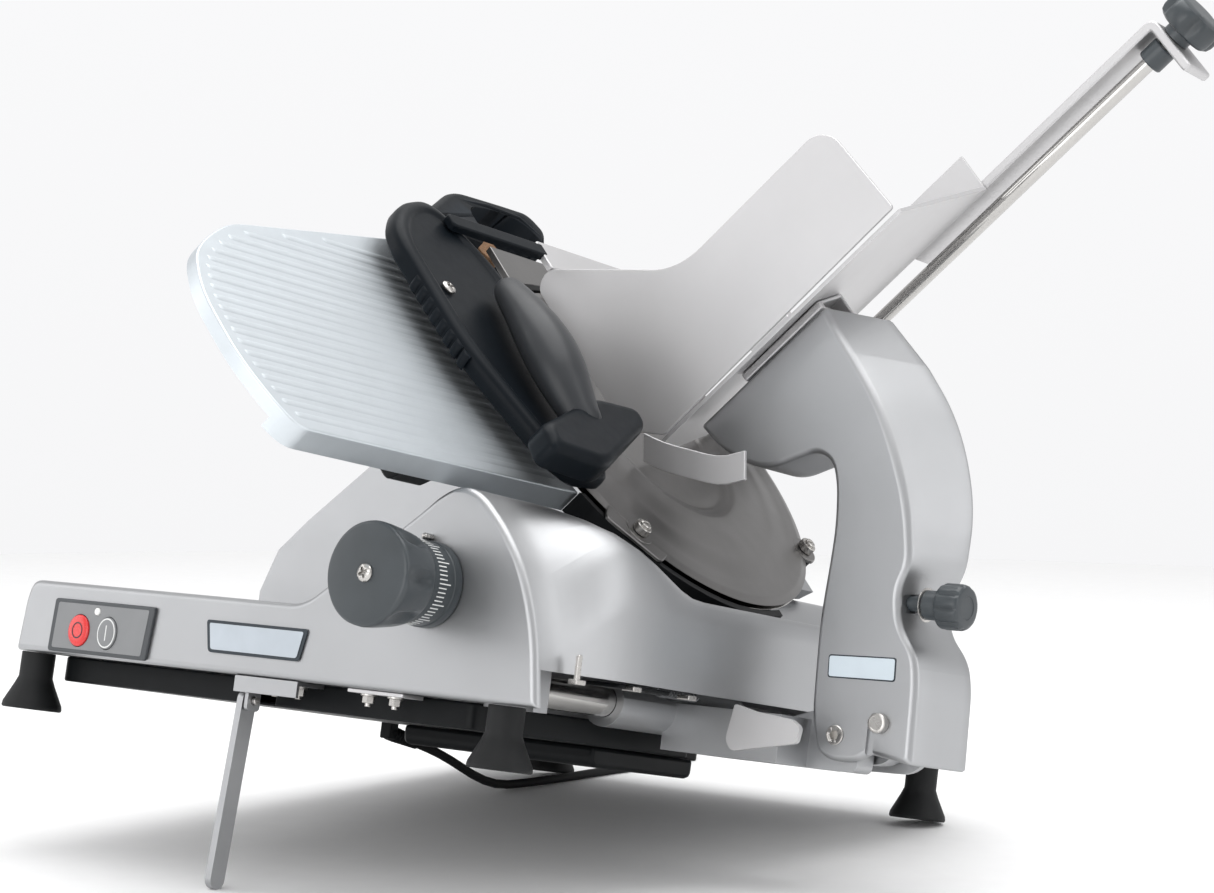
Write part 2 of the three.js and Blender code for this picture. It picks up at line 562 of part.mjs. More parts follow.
function addArm() {
  const topRight = machinePoint(-37.5, 199);
  const topLeft = machinePoint(-37.5, 60);
  const outline = [...ARM_OUTLINE, [...topRight, 30], [...topLeft, 0], [472, 268, 0], [500, 256, 0],
    [524, 252, 0], [546, 261, 0], [565, 268, 0], [579, 261, 0], [586, 242, 0], [589, 212, 0],
    [588, 185, 0], [585, 141, 0], [588, 69, 0]];
  const ring = (y, wide) => outline.map(([x, z, wider]) => new THREE.Vector3(x + (wide ? wider : 0), y, z));
  const solid = loft([ring(ARM_FRONT, false), ring(ARM_REAR, true)]);
  const wall = 6.5;
  const lugSlot = box([560, ARM_FRONT + wall, 10], [740, ARM_REAR - 21, 92]);
  const pinHole = rod([ARM_PIVOT.x, 200, ARM_PIVOT.z], 'y', 120, ARM_PIVOT.radius + GAP);
  const latchHole = rod([LATCH.x, 200, LATCH.z], 'y', 40, LATCH.radius + GAP);
  const releaseHole = rod([RELEASE.x - 40, RELEASE.y, RELEASE.z], 'x', 60, 6.3);
  place(machine, 'carriage_arm', cut(solid, lugSlot, pinHole, latchHole, releaseHole), castAluminium);

  const pin = rod([ARM_PIVOT.x, ARM_FRONT - 1, ARM_PIVOT.z], 'y', 56, ARM_PIVOT.radius, 20);
  place(machine, 'arm_pivot_pin', pin, screwSteel);
  const head = rod([LATCH.x, ARM_FRONT - 7, LATCH.z], 'y', 7 - GAP, 7.5, 24);
  const shank = rod([LATCH.x, ARM_FRONT - 1, LATCH.z], 'y', 8, LATCH.radius, 20);
  place(machine, 'latch_pin', join(head, shank), screwSteel);

  const stem = rod([RELEASE.x - 20, RELEASE.y, RELEASE.z], 'x', 36, 6, 20);
  const collar = rod([RELEASE.x + 1, RELEASE.y, RELEASE.z], 'x', 14, 11, 24);
  const knob = rod([RELEASE.x + 14.5, RELEASE.y, RELEASE.z], 'x', 21, 17.3, 28);
  place(machine, 'release_knob', join(stem, collar, knob), knobPlastic);
}

function trayHeight(x) {
  return -36 + (x - (WALL_FRONT + WALL_THICKNESS)) * Math.tan(TRAY_SLOPE);
}

function addTray() {
  const wallOutline = roundedShape([[-36, 41, 4], [-8, 14, 6], [146, 14, 10], [153, 30, 16],
    [101, 86, 30], [63, 125, 40], [63, 279, 16], [50, 292, 16], [-33, 298, 3]]);
  const wall = slabX(wallOutline, WALL_FRONT, WALL_FRONT + WALL_THICKNESS, 8);
  place(knifeFrame, 'product_wall', wall, castAluminium);

  const inner = WALL_FRONT + WALL_THICKNESS + GAP;
  const thick = 3.4;
  const fenceTop = 92;
  const bed = roundedShape([[inner, trayHeight(inner) - thick],
    [TRAY_REAR + 3, trayHeight(TRAY_REAR) - thick], [TRAY_REAR + 3, fenceTop],
    [TRAY_REAR, fenceTop], [TRAY_REAR, trayHeight(TRAY_REAR)],
    [inner, trayHeight(inner)]]);
  const bedSlab = slabZ(bed, TRAY_START, TRAY_END);
  const rodEar = box([TRAY_REAR - 6, GRIP_ROD.y - 11, TRAY_START],
    [GRIP_ROD.x + 11, GRIP_ROD.y + 11, TRAY_START + 8]);
  place(knifeFrame, 'tray_bed', join(bedSlab, rodEar), castAluminium);

  const [left, right] = [-36, 17];
  const margin = thick + 1;
  const bracketOuter = roundedShape([[left, -37.2], [right, -37.2],
    [right, trayHeight(right) - margin], [left, trayHeight(left) - margin]]);
  const bracketInner = roundedShape([[left + 8, -34.4], [right - 3, -34.4],
    [right - 3, trayHeight(right) - margin - 4.4], [left + 8, trayHeight(left + 8) - margin - 3]]);
  place(knifeFrame, 'tray_bracket', cut(slabZ(bracketOuter, 112, 198), slabZ(bracketInner, 100, 210)),
    castAluminium);
}

/** Curved sheet under the wall that keeps fingers off the edge. */
function addFingerGuard() {
  const path = new THREE.CatmullRomCurve3([[-72, -28, 32], [-72, -46, 42], [-70, -68, 58], [-62, -90, 76],
    [-44, -102, 96]].map((point) => new THREE.Vector3(...point)));
  const frames = path.getSpacedPoints(10);
  const strip = new THREE.Shape();
  const halfWidth = 13;
  frames.forEach((point, i) => (i === 0 ? strip.moveTo(point.y, point.z) : strip.lineTo(point.y, point.z)));
  [...frames].reverse().forEach((point) => strip.lineTo(point.y - halfWidth * 1.4, point.z - halfWidth));
  strip.closePath();
  place(knifeFrame, 'finger_guard', slabX(strip, -72, -69), castAluminium);
}

function addGripRod() {
  const thickness = 8;
  const top = 492;
  const barBottom = 56;
  const lower = 8;
  const profile = roundedShape([[barBottom, 214], [barBottom + thickness, 214],
    [barBottom + thickness, top, 10],
    [lower, top, 3], [lower, top - thickness, 3], [barBottom, top - thickness, 3]]);
  const bar = slabX(profile, TRAY_REAR + 3 + GAP, 200);
  const widePart = box([199, barBottom, 225], [214, barBottom + thickness, 360]);
  const { x, y, radius } = GRIP_ROD;
  place(knifeFrame, 'guide_bar', join(bar, widePart), castAluminium);
  const rodStart = TRAY_START + 8 + GAP;
  place(knifeFrame, 'grip_rod', rod([x, y, rodStart], 'z', GRIP_ROD_END + GAP - rodStart, radius, 24),
    polishedSteel);
  const collar = cut(rod([x, y, 464], 'z', 18, 11, 24), rod([x, y, 450], 'z', 60, radius + GAP, 24));
  place(knifeFrame, 'rod_collar', collar, knobPlastic);
  const knob = new THREE.Shape();
  const lobes = 5;
  for (let step = 0; step < lobes * 10; step += 1) {
    const angle = (step / (lobes * 10)) * Math.PI * 2;
    const reach = 24 + 2.5 * Math.cos(lobes * angle);
    const point = [x + reach * Math.cos(angle), y + reach * Math.sin(angle)];
    if (step === 0) knob.moveTo(...point);
    else knob.lineTo(...point);
  }
  const neck = rod([x, y, top + GAP], 'z', 8, 12, 24);
  place(knifeFrame, 'end_knob', join(slabZ(knob, 500, 522), neck), knobPlastic);
}

function addMeatGrip() {
  const outline = roundedShape([[-247, 150, 24], [-214, 190, 22], [-168, 206, 18], [-124, 132, 20],
    [-134, 20], [-148, -84, 8], [-188, -88, 8], [-208, -72, 10], [-243, 30, 10]]);
  const plateTop = 27;
  place(knifeFrame, 'grip_plate', slabZ(outline, 9.5, plateTop), gripPlastic);

  const length = 58;
  const handle = turned([[0, -length], [12, -length + 4], [20, -length + 18], [23, -10], [21, 20], [15, 44],
    [7, length - 3], [0, length]], 28);
  handle.rotateX(-Math.PI / 2).rotateZ(THREE.MathUtils.degToRad(8)).translate(-172, 38, plateTop + 23.5);
  place(knifeFrame, 'grip_handle', handle, handlePlastic);
  const guard = roundedShape([[-252, -96, 8], [-190, -102, 12], [-97, -42, 12], [-98, -23, 10],
    [-152, -24, 10], [-246, -70, 10]]);
  place(knifeFrame, 'grip_guard', slabZ(guard, plateTop + GAP, plateTop + 25), handlePlastic);

  const { x, y, radius } = GRIP_ROD;
  const [dropSide, outside] = [219, 231];
  const blockEnd = 62;
  const hubEnd = blockEnd + GAP + 12;
  const bridge = box([-172, 164, plateTop + GAP], [outside, 184, plateTop + 10]);
  const drop = box([dropSide, y - 8, plateTop + GAP], [outside, 184, hubEnd]);
  const tongue = box([x, y - 8, blockEnd + GAP], [dropSide + 1, y + 8, hubEnd]);
  const hub = rod([x, y, blockEnd + GAP], 'z', hubEnd - blockEnd - GAP, 12, 28);
  const bore = rod([x, y, 0], 'z', 100, radius + GAP, 24);
  place(knifeFrame, 'grip_arm', cut(join(bridge, drop, tongue, hub), bore), castAluminium);
  const block = rod([x, y, TRAY_START + 11], 'z', blockEnd - TRAY_START - 11, 12, 28);
  place(knifeFrame, 'grip_slide_block', cut(block, bore), gripPlastic);
}

// ---------- mains cord ----------
function addGland() {
  const block = box([GLAND.x - 6, GLAND.y - 9, 12], [GLAND.x + 6, GLAND.y + 2, PAN_BOTTOM - GAP]);
  const sleeve = turned([[0, -4], [7, -4], [7, 0], [5.2, STRAIN_RELIEF_LENGTH],
    [0, STRAIN_RELIEF_LENGTH]], 20);
  const turn = new THREE.Quaternion().setFromUnitVectors(new THREE.Vector3(0, 0, 1), GLAND_DIRECTION);
  sleeve.applyQuaternion(turn).translate(GLAND.x, GLAND.y, GLAND.z);
  place(machine, 'cord_gland', join(block, sleeve), blackPlastic);
}

function addCord() {
  const sides = 10;
  const section = new THREE.Shape();
  for (let side = 0; side < sides; side += 1) {
    const angle = (side / sides) * Math.PI * 2;
    const point = [CORD_RADIUS * Math.cos(angle), CORD_RADIUS * Math.sin(angle)];
    if (side === 0) section.moveTo(...point);
    else section.lineTo(...point);
  }
  const extrudePath = new THREE.CatmullRomCurve3(CORD_ROUTE.map((point) => new THREE.Vector3(...point)));
  const tube = new THREE.ExtrudeGeometry(section, { steps: 24, bevelEnabled: false, extrudePath });
  place(floorFrame, 'power_cord', tube, blackRubber);

  const { x, y, inner, outer, height } = COIL;
  const coil = turned([[inner, 0], [outer, 0], [outer, height], [inner, height], [inner, 0]], 40);
  place(floorFrame, 'cord_coil', coil.translate(x, y, 0), blackRubber);
}

/** Three-pin plug that lies beside the coil, where the last turn leaves it. */
function addPlug() {
  const sleeveLength = 24;
  const bodyLength = 34;
  const sleeve = turned([[0, 0], [5.2, 0], [8.5, sleeveLength], [8.5, sleeveLength + 3],
    [0, sleeveLength + 3]], 20);
  const body = slabZ(rectangle(-12, -14, 12, 14, 7), sleeveLength, sleeveLength + bodyLength);
  const pins = [-6.5, 6.5].map((side) => box([-3, side - 0.8, 56], [3, side + 0.8, 56 + 19]));
  const earth = rod([6.5, 0, 56], 'z', 21, 2.4, 12);
  const plug = join(sleeve, body, ...pins, earth).rotateY(-Math.PI / 2);
  plug.translate(COIL.x - 34, COIL.y + COIL.outer - CORD_RADIUS - 0.4, 12.2);
  place(floorFrame, 'power_plug', plug, blackPlastic);
}

addBaseCasting();
addMotorHousing();
addUnderside();
addFeet();
addSwitches();
addCleaningLeg();
addIndexKnob();
addGaugePlate();
addKnife();
addKnifeCover();
addDrive();
addSharpener();
addSlideRod();
addTransport();
addArm();
addTray();
addFingerGuard();
addGripRod();
addMeatGrip();
addGland();
addCord();
addPlug();

// ---------- leaning back on the cleaning leg ----------

/** Lean at which the leg's rounded tip and the rear feet's rims touch one plane. */
function leanAngle() {
  const tip = new THREE.Vector3(0, -Math.sin(LEG_LEAN), -Math.cos(LEG_LEAN))
    .multiplyScalar(LEG_LENGTH).add(LEG_PIVOT);
  const rearRim = FEET.foot_rear_left[1] + FOOT_RADIUS - 1;
  const run = rearRim - tip.y;
  return Math.asin(LEG_HALF_WIDTH / Math.hypot(run, tip.z)) + Math.atan2(-tip.z, run);
}

machine.rotation.x = -leanAngle();
object.updateMatrixWorld(true);
const bounds = new THREE.Box3().setFromObject(machine, true);
const centre = bounds.getCenter(new THREE.Vector3());
machine.position.set(-centre.x, -centre.y, -bounds.min.z);
floorFrame.position.set(-centre.x, -centre.y, 0);
object.updateMatrixWorld(true);

export default object;
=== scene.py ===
# Looks of the gravity-feed deli slicer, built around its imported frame.
# Shapes are given in millimetres in two frames of the machine and placed in metres:
# MACHINE has x to the operator's right, y to the rear and z up from the soles of the feet;
# KNIFE has its origin at the knife's centre, x to the rear, y up the blade and z out of it.

import json
import math

import bmesh
import bpy
from mathutils import Matrix, Vector


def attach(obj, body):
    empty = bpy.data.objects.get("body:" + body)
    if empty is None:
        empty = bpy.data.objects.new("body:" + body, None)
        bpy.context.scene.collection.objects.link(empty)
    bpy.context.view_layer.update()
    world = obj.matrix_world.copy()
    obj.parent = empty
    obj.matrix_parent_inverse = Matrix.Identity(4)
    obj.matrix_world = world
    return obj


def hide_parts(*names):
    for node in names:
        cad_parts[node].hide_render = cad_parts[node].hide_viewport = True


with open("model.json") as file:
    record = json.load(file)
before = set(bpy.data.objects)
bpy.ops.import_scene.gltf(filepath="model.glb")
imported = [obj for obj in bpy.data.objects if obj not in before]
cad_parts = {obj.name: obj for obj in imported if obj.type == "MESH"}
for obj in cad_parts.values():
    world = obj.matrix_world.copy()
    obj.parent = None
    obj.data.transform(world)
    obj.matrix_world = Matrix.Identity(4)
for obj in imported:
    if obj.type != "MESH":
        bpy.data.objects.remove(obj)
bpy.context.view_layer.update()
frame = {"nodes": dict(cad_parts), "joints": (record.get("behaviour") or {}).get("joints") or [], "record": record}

MM = 0.001
JOINTS = {joint["name"]: joint for joint in frame["joints"]}


# ---- frames ----

def frame_matrix(x_axis, y_axis, z_axis, origin):
    """Placement from millimetres along three axes to metres."""
    matrix = Matrix((x_axis, y_axis, z_axis)).transposed().to_4x4() @ Matrix.Scale(MM, 4)
    matrix.translation = origin
    return matrix


KNIFE_TILT = math.radians(46.8)
KNIFE_CENTRE_MM = Vector((385, 267, 269))      # in the machine frame

right_axis = Vector((1, 0, 0))
rear_axis = Vector(JOINTS["carriage_travel"]["axis"]).normalized()
up_axis = right_axis.cross(rear_axis)
knife_axis = Vector(JOINTS["knife_spin"]["axis"]).normalized()
knife_centre = Vector(JOINTS["knife_spin"]["pos_m"])

machine_axes = Matrix((right_axis, rear_axis, up_axis)).transposed()
MACHINE = frame_matrix(right_axis, rear_axis, up_axis,
                       knife_centre - machine_axes @ KNIFE_CENTRE_MM * MM)
KNIFE = frame_matrix(rear_axis, knife_axis.cross(rear_axis), knife_axis, knife_centre)

# Local (u, v, w) with w as the direction of extrusion.
CYCLE = Matrix(((0, 0, 1, 0), (1, 0, 0, 0), (0, 1, 0, 0), (0, 0, 0, 1)))
FRONT = MACHINE @ Matrix(((1, 0, 0, 0), (0, 0, -1, 0), (0, 1, 0, 0), (0, 0, 0, 1)))   # u=x v=z w=-y
SIDE = MACHINE @ CYCLE                         # u=y v=z w=x of the machine
ACROSS = KNIFE @ CYCLE                         # u=y v=z w=x of the knife


def machine_point(up, out):
    """Machine-frame (x, z) of a place up the blade and out of it."""
    return (KNIFE_CENTRE_MM.x - up * math.cos(KNIFE_TILT) + out * math.sin(KNIFE_TILT),
            KNIFE_CENTRE_MM.z + up * math.sin(KNIFE_TILT) + out * math.cos(KNIFE_TILT))


def quarter_turned(x, y, z, about):
    """Placement at a machine point, turned about X (local z to the front) or Y (local z to the right)."""
    return MACHINE @ Matrix.Translation((x, y, z)) @ Matrix.Rotation(math.radians(90), 4, about)


def add_object(name, data):
    made = bpy.data.objects.new(name, data)
    bpy.context.collection.objects.link(made)
    return made


# ---- camera ----

CAMERA_FROM_KNIFE = Vector((1.47673772, -1.97399257, 0.11677248))      # metres
CAMERA_TURNS = (87.288133, -0.569295, 37.696186)                       # degrees
CAMERA_LENS = 91.443555
camera_data = bpy.data.cameras.new("camera")
camera_data.sensor_width = 36
camera_data.lens = CAMERA_LENS
camera = add_object("camera", camera_data)
camera.location = knife_centre + CAMERA_FROM_KNIFE
camera.rotation_euler = [math.radians(turn) for turn in CAMERA_TURNS]
bpy.context.scene.camera = camera


# ---- materials ----

def noise(tree, coordinates, scale, detail):
    """Noise texture's value over some coordinates."""
    made = tree.nodes.new("ShaderNodeTexNoise")
    made.inputs["Scale"].default_value = scale
    made.inputs["Detail"].default_value = detail
    tree.links.new(coordinates, made.inputs["Vector"])
    return made.outputs["Fac"]


def color_ramp(tree, value, low, high, low_color=(0, 0, 0), high_color=(1, 1, 1)):
    """Colour that runs from one to another between two values."""
    made = tree.nodes.new("ShaderNodeValToRGB")
    for stop, position, color in zip(made.color_ramp.elements, (low, high), (low_color, high_color)):
        stop.position = position
        stop.color = (*color, 1)
    tree.links.new(value, made.inputs["Fac"])
    return made.outputs["Color"]


def scaled(color, factor):
    return [min(value * factor, 1) for value in color]


def material(name, color, metallic=0.0, roughness=0.5, tint=0.06, mottle=40, spread=0.06,
             grain=1500, bump=0.05, brush=None, depth=0.0002, coat=0.0, edge_highlight=0.0, specular=0.5):
    """Procedural finish: mottled colour, uneven roughness and fine grain, drawn out along an axis; convex edges
    can be painted lighter as a highlight.
    """
    made = bpy.data.materials.new(name)
    made.use_nodes = True
    tree = made.node_tree
    nodes, links = tree.nodes, tree.links
    shader = nodes["Principled BSDF"]
    for setting, value in (("Metallic", metallic), ("Specular IOR Level", specular),
                           ("Coat Weight", coat), ("Coat Roughness", 0.15)):
        shader.inputs[setting].default_value = value
    place = nodes.new("ShaderNodeTexCoord")
    stretch = nodes.new("ShaderNodeMapping")
    if brush:
        axis, length = brush
        turn = Vector(axis).to_track_quat("X", "Z").to_euler()
        stretch.vector_type = "TEXTURE"
        stretch.inputs["Rotation"].default_value = turn
        stretch.inputs["Scale"].default_value = (length, 1, 1)
    links.new(place.outputs["Object"], stretch.inputs["Vector"])

    painted = color_ramp(tree, noise(tree, place.outputs["Object"], mottle, 6), 0.3, 0.7,
                         scaled(color, 1 - tint), scaled(color, 1 + tint))
    # Convex edges get a lighter colour: a painted highlight along the edges.
    if edge_highlight:
        geometry = nodes.new("ShaderNodeNewGeometry")
        edge_highlight_mix = nodes.new("ShaderNodeMix")
        edge_highlight_mix.data_type = "RGBA"
        edge_highlight_mix.inputs["B"].default_value = (*scaled(color, 1 + edge_highlight), 1)
        links.new(color_ramp(tree, geometry.outputs["Pointiness"], 0.54, 0.66), edge_highlight_mix.inputs["Factor"])
        links.new(painted, edge_highlight_mix.inputs["A"])
        painted = edge_highlight_mix.outputs["Result"]
    links.new(painted, shader.inputs["Base Color"])

    sheen = nodes.new("ShaderNodeMapRange")
    sheen.inputs["To Min"].default_value = max(roughness - spread, 0.02)
    sheen.inputs["To Max"].default_value = min(roughness + spread, 1)
    links.new(noise(tree, stretch.outputs["Vector"], mottle * 3, 4), sheen.inputs["Value"])
    links.new(sheen.outputs["Result"], shader.inputs["Roughness"])

    relief = nodes.new("ShaderNodeBump")
    relief.inputs["Strength"].default_value = bump
    relief.inputs["Distance"].default_value = depth
    links.new(noise(tree, stretch.outputs["Vector"], grain, 3), relief.inputs["Height"])
    links.new(relief.outputs["Normal"], shader.inputs["Normal"])
    return made


along_travel = tuple(rear_axis)
FINISH_TABLE = {
    "cast_aluminium": dict(color=(0.40, 0.405, 0.414), metallic=1.0, roughness=0.40, tint=0.03,
        grain=2600, bump=0.16, mottle=9, spread=0.04, depth=0.0003),
    "sheet_aluminium": dict(color=(0.58, 0.575, 0.58), metallic=1.0, roughness=0.56, tint=0.02,
        grain=2200, bump=0.10, mottle=14, spread=0.03),
    "gauge_aluminium": dict(color=(0.60, 0.64, 0.67), metallic=0.85, roughness=0.44, tint=0.02,
        grain=1800, bump=0.1, brush=(along_travel, 30), spread=0.05),
    "cover_steel": dict(color=(0.205, 0.20, 0.197), metallic=1.0, roughness=0.36, tint=0.05, grain=2400,
        bump=0.14, mottle=20, spread=0.05),
    "polished_steel": dict(color=(0.48, 0.47, 0.455), metallic=1.0, roughness=0.16, tint=0.03,
        grain=3000, bump=0.05, brush=(tuple(knife_axis), 40), spread=0.04),
    "screw_steel": dict(color=(0.50, 0.485, 0.465), metallic=1.0, roughness=0.28, tint=0.05, grain=1200,
        mottle=90, bump=0.04, spread=0.04),
    "motor_iron": dict(color=(0.10, 0.105, 0.11), metallic=0.3, roughness=0.6, grain=900, bump=0.3,
        depth=0.0006),
    # The black plastics and rubber have their convex edges painted lighter, a painted highlight.
    "black_rubber": dict(color=(0.006, 0.0065, 0.007), roughness=0.62, tint=0.2, grain=1400,
        bump=0.3, edge_highlight=1.2, specular=0.3),
    "black_plastic": dict(color=(0.006, 0.0068, 0.0075), roughness=0.40, tint=0.15,
        grain=1300, bump=0.22, edge_highlight=1.0, specular=0.12),
    "grip_plastic": dict(color=(0.0045, 0.0065, 0.009), roughness=0.38, tint=0.12,
        grain=1800, bump=0.16, edge_highlight=1.0, specular=0.1),
    # The handle's dark plastic is lightened in part as a painted highlight.
    "handle_plastic": dict(color=(0.027, 0.029, 0.032), roughness=0.36, tint=0.1,
        grain=1800, bump=0.16, edge_highlight=0.6, specular=0.32),
    "knob_plastic": dict(color=(0.034, 0.041, 0.046), roughness=0.34, tint=0.1, grain=1800,
        bump=0.12, edge_highlight=0.8, specular=0.5),
    "grey_plastic": dict(color=(0.40, 0.41, 0.41), roughness=0.45, tint=0.03, grain=1800,
        bump=0.1),
    "red_plastic": dict(color=(0.62, 0.018, 0.018), roughness=0.28, tint=0.05, grain=1500,
        bump=0.05, coat=0.4),
    "lens": dict(color=(0.72, 0.72, 0.70), roughness=0.16, tint=0.03, grain=1500, bump=0.03,
        coat=0.5),
    "grinding_stone": dict(color=(0.23, 0.13, 0.07), roughness=0.9, tint=0.3, mottle=700,
        grain=2200, bump=0.8, depth=0.0006),
}
FINISHES = {name: material(name, **look) for name, look in FINISH_TABLE.items()}
WHITE_INK = material("white_ink", (0.68, 0.69, 0.68), 0, 0.5, tint=0.03, bump=0.04)
DARK_INK = material("dark_ink", (0.018, 0.026, 0.034), 0, 0.45, tint=0.1, bump=0.06, specular=0.4)
PANEL_GREY = material("panel_grey", (0.20, 0.205, 0.21), 0.2, 0.42, tint=0.04, bump=0.06)
PANEL_DARK = material("panel_dark", (0.045, 0.05, 0.055), 0, 0.4, tint=0.08, bump=0.08)
BADGE_FACE = material("badge_face", (0.44, 0.48, 0.52), 1.0, 0.36, tint=0.04, bump=0.06)
LABEL_FACE = material("label_face", (0.55, 0.62, 0.67), 0, 0.4, tint=0.03, bump=0.04)


# ---- shapes ----

def rounded(points, steps=6):
    """Outline with each (x, y, ..., radius) corner rounded; values between are carried along."""
    made = []
    count = len(points)
    for i, point in enumerate(points):
        here = Vector(point[:-1])
        before = Vector(points[i - 1][:-1])
        after = Vector(points[(i + 1) % count][:-1])
        radius = min(point[-1], 0.495 * (here - before).length, 0.495 * (here - after).length)
        if radius <= 0.01:
            made.append(tuple(here))
            continue
        start = here + (before - here).normalized() * radius
        end = here + (after - here).normalized() * radius
        for step in range(steps + 1):
            t = step / steps
            made.append(tuple(start * (1 - t) ** 2 + here * 2 * t * (1 - t) + end * t * t))
    return made


def circle(x, y, radius, count=48, radius_y=None):
    radius_y = radius if radius_y is None else radius_y
    return [(x + radius * math.cos(math.tau * i / count), y + radius_y * math.sin(math.tau * i / count))
            for i in range(count)]


def inset(outline, distance):
    """Outline moved inwards (anticlockwise outlines), corner by corner."""
    made = []
    count = len(outline)
    for i, point in enumerate(outline):
        here = Vector(point[:2])
        into = here - Vector(outline[i - 1][:2])
        out = Vector(outline[(i + 1) % count][:2]) - here
        into = into.normalized() if into.length > 1e-6 else out.normalized()
        out = out.normalized() if out.length > 1e-6 else into
        normal = Vector((-into.y - out.y, into.x + out.x))
        normal = normal.normalized() if normal.length > 1e-6 else Vector((-into.y, into.x))
        reach = distance / max(normal.dot(Vector((-into.y, into.x))), 0.5)
        made.append((here.x + normal.x * reach, here.y + normal.y * reach) + tuple(point[2:]))
    return made


def loft(rings, caps=True):
    """Skin through rings of equal length."""
    count = len(rings[0])
    verts = [tuple(p) for ring in rings for p in ring]
    faces = []
    for r in range(len(rings) - 1):
        for i in range(count):
            a, b = r * count + i, r * count + (i + 1) % count
            faces.append((a, b, b + count, a + count))
    if caps:
        faces.append(tuple(reversed(range(count))))
        faces.append(tuple(range((len(rings) - 1) * count, len(rings) * count)))
    return verts, faces


def quarter(steps):
    """Pairs (1 - cosine, 1 - sine) along a quarter turn."""
    turns = [math.radians(90) * i / steps for i in range(steps + 1)]
    return [(1 - math.cos(a), 1 - math.sin(a)) for a in turns]


def prism(outline, low, high, top=0.0, bottom=0.0, steps=4):
    """Outline as thick as low to high, with its top and bottom edges rounded."""
    rings = []
    if bottom:
        for rise, inwards in quarter(steps):
            rings.append([(x, y, low + bottom * rise) for x, y in inset(outline, bottom * inwards)])
    else:
        rings.append([(x, y, low) for x, y in outline])
    if top:
        for inwards, drop in quarter(steps):
            rings.append([(x, y, high - top * drop) for x, y in inset(outline, top * inwards)])
    else:
        rings.append([(x, y, high) for x, y in outline])
    return loft(rings)


def slab(corners, low, high, **edges):
    """Prism of an outline given by its corners, each with a radius."""
    return prism(rounded(corners), low, high, **edges)


def stacked(corners, levels, steps=6):
    """Rounded outline moved inwards at each of several (height, inwards) levels."""
    return loft([[(x, y, height) for x, y in rounded(inset(corners, inwards), steps)]
                 for height, inwards in levels])


def rod(x, y, radius, low, high, count=24, **edges):
    """Round bar or the hole for one, upright at (x, y)."""
    return prism(circle(x, y, radius, count), low, high, **edges)


def shaft(radius, low, high, segments=24):
    """Plain round solid about z."""
    return lathe([(0, low), (radius, low), (radius, high), (0, high)], segments)


def block(x0, y0, x1, y1, radius, low, high, **edges):
    """Rectangular slab with rounded corners."""
    return slab([(x0, y0, radius), (x1, y0, radius), (x1, y1, radius), (x0, y1, radius)], low, high,
                **edges)


def lathe(profile, segments=48):
    """Solid of revolution about z from (radius, height) pairs; ends on the axis are closed."""
    verts, faces, rows = [], [], []
    for radius, height in profile:
        if radius < 1e-6:
            rows.append([len(verts)])
            verts.append((0, 0, height))
        else:
            rows.append(list(range(len(verts), len(verts) + segments)))
            verts += [(x, y, height) for x, y in circle(0, 0, radius, segments)]
    for low, high in zip(rows, rows[1:]):
        for i in range(segments):
            j = (i + 1) % segments
            if len(low) == 1 and len(high) == 1:
                continue
            if len(low) == 1:
                faces.append((low[0], high[j], high[i]))
            elif len(high) == 1:
                faces.append((low[i], low[j], high[0]))
            else:
                faces.append((low[i], low[j], high[j], high[i]))
    return verts, faces


def tube(path, radius, sides=12):
    """Round bar along a path."""
    points = [Vector(p) for p in path]
    rings = []
    normal = None
    for i, point in enumerate(points):
        ahead = points[min(i + 1, len(points) - 1)] - points[max(i - 1, 0)]
        ahead.normalize()
        if normal is None:
            normal = ahead.orthogonal().normalized()
        normal = (normal - ahead * normal.dot(ahead)).normalized()
        side = ahead.cross(normal)
        rings.append([tuple(point + (normal * math.cos(math.tau * k / sides)
                                     + side * math.sin(math.tau * k / sides)) * radius)
                      for k in range(sides)])
    return loft(rings)


def merged(*shapes):
    """Several (verts, faces) shapes as one."""
    verts, faces = [], []
    for more_verts, more_faces in shapes:
        start = len(verts)
        verts += list(more_verts)
        faces += [tuple(i + start for i in face) for face in more_faces]
    return verts, faces


def moved(shape, matrix):
    """Shape with its points taken through a matrix in millimetres."""
    verts, faces = shape
    return [tuple(matrix @ Vector(v)) for v in verts], faces


def shift(x, y, z):
    return Matrix.Translation((x, y, z))


def shade(mesh, angle):
    """Smooth shading, broken at edges sharper than an angle in degrees."""
    mesh.polygons.foreach_set("use_smooth", [True] * len(mesh.polygons))
    mesh.set_sharp_from_angle(angle=math.radians(angle))


def clean(mesh, merge, angle, flat=0):
    """Merges doubled points and, within an angle, flat faces; sets normals and shading."""
    editor = bmesh.new()
    editor.from_mesh(mesh)
    bmesh.ops.remove_doubles(editor, verts=editor.verts, dist=merge)
    if flat:
        bmesh.ops.dissolve_limit(editor, angle_limit=math.radians(flat), verts=editor.verts,
                                 edges=editor.edges)
    bmesh.ops.recalc_face_normals(editor, faces=editor.faces)
    editor.to_mesh(mesh)
    editor.free()
    shade(mesh, angle)


def piece(name, shape, place, finish, body, slot, replaces=(), angle=35, smooth=0):
    """Makes an object from a shape in millimetres and ties it to its body."""
    verts, faces = shape
    mesh = bpy.data.meshes.new(name)
    mesh.from_pydata([place @ Vector(v) for v in verts], [], faces)
    clean(mesh, 1e-6, angle)
    made = add_object(name, mesh)
    made.data.materials.append(finish)
    soften(made, 0, smooth)
    if body:
        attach(made, body)
        if replaces:
            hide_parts(*replaces)
    return made


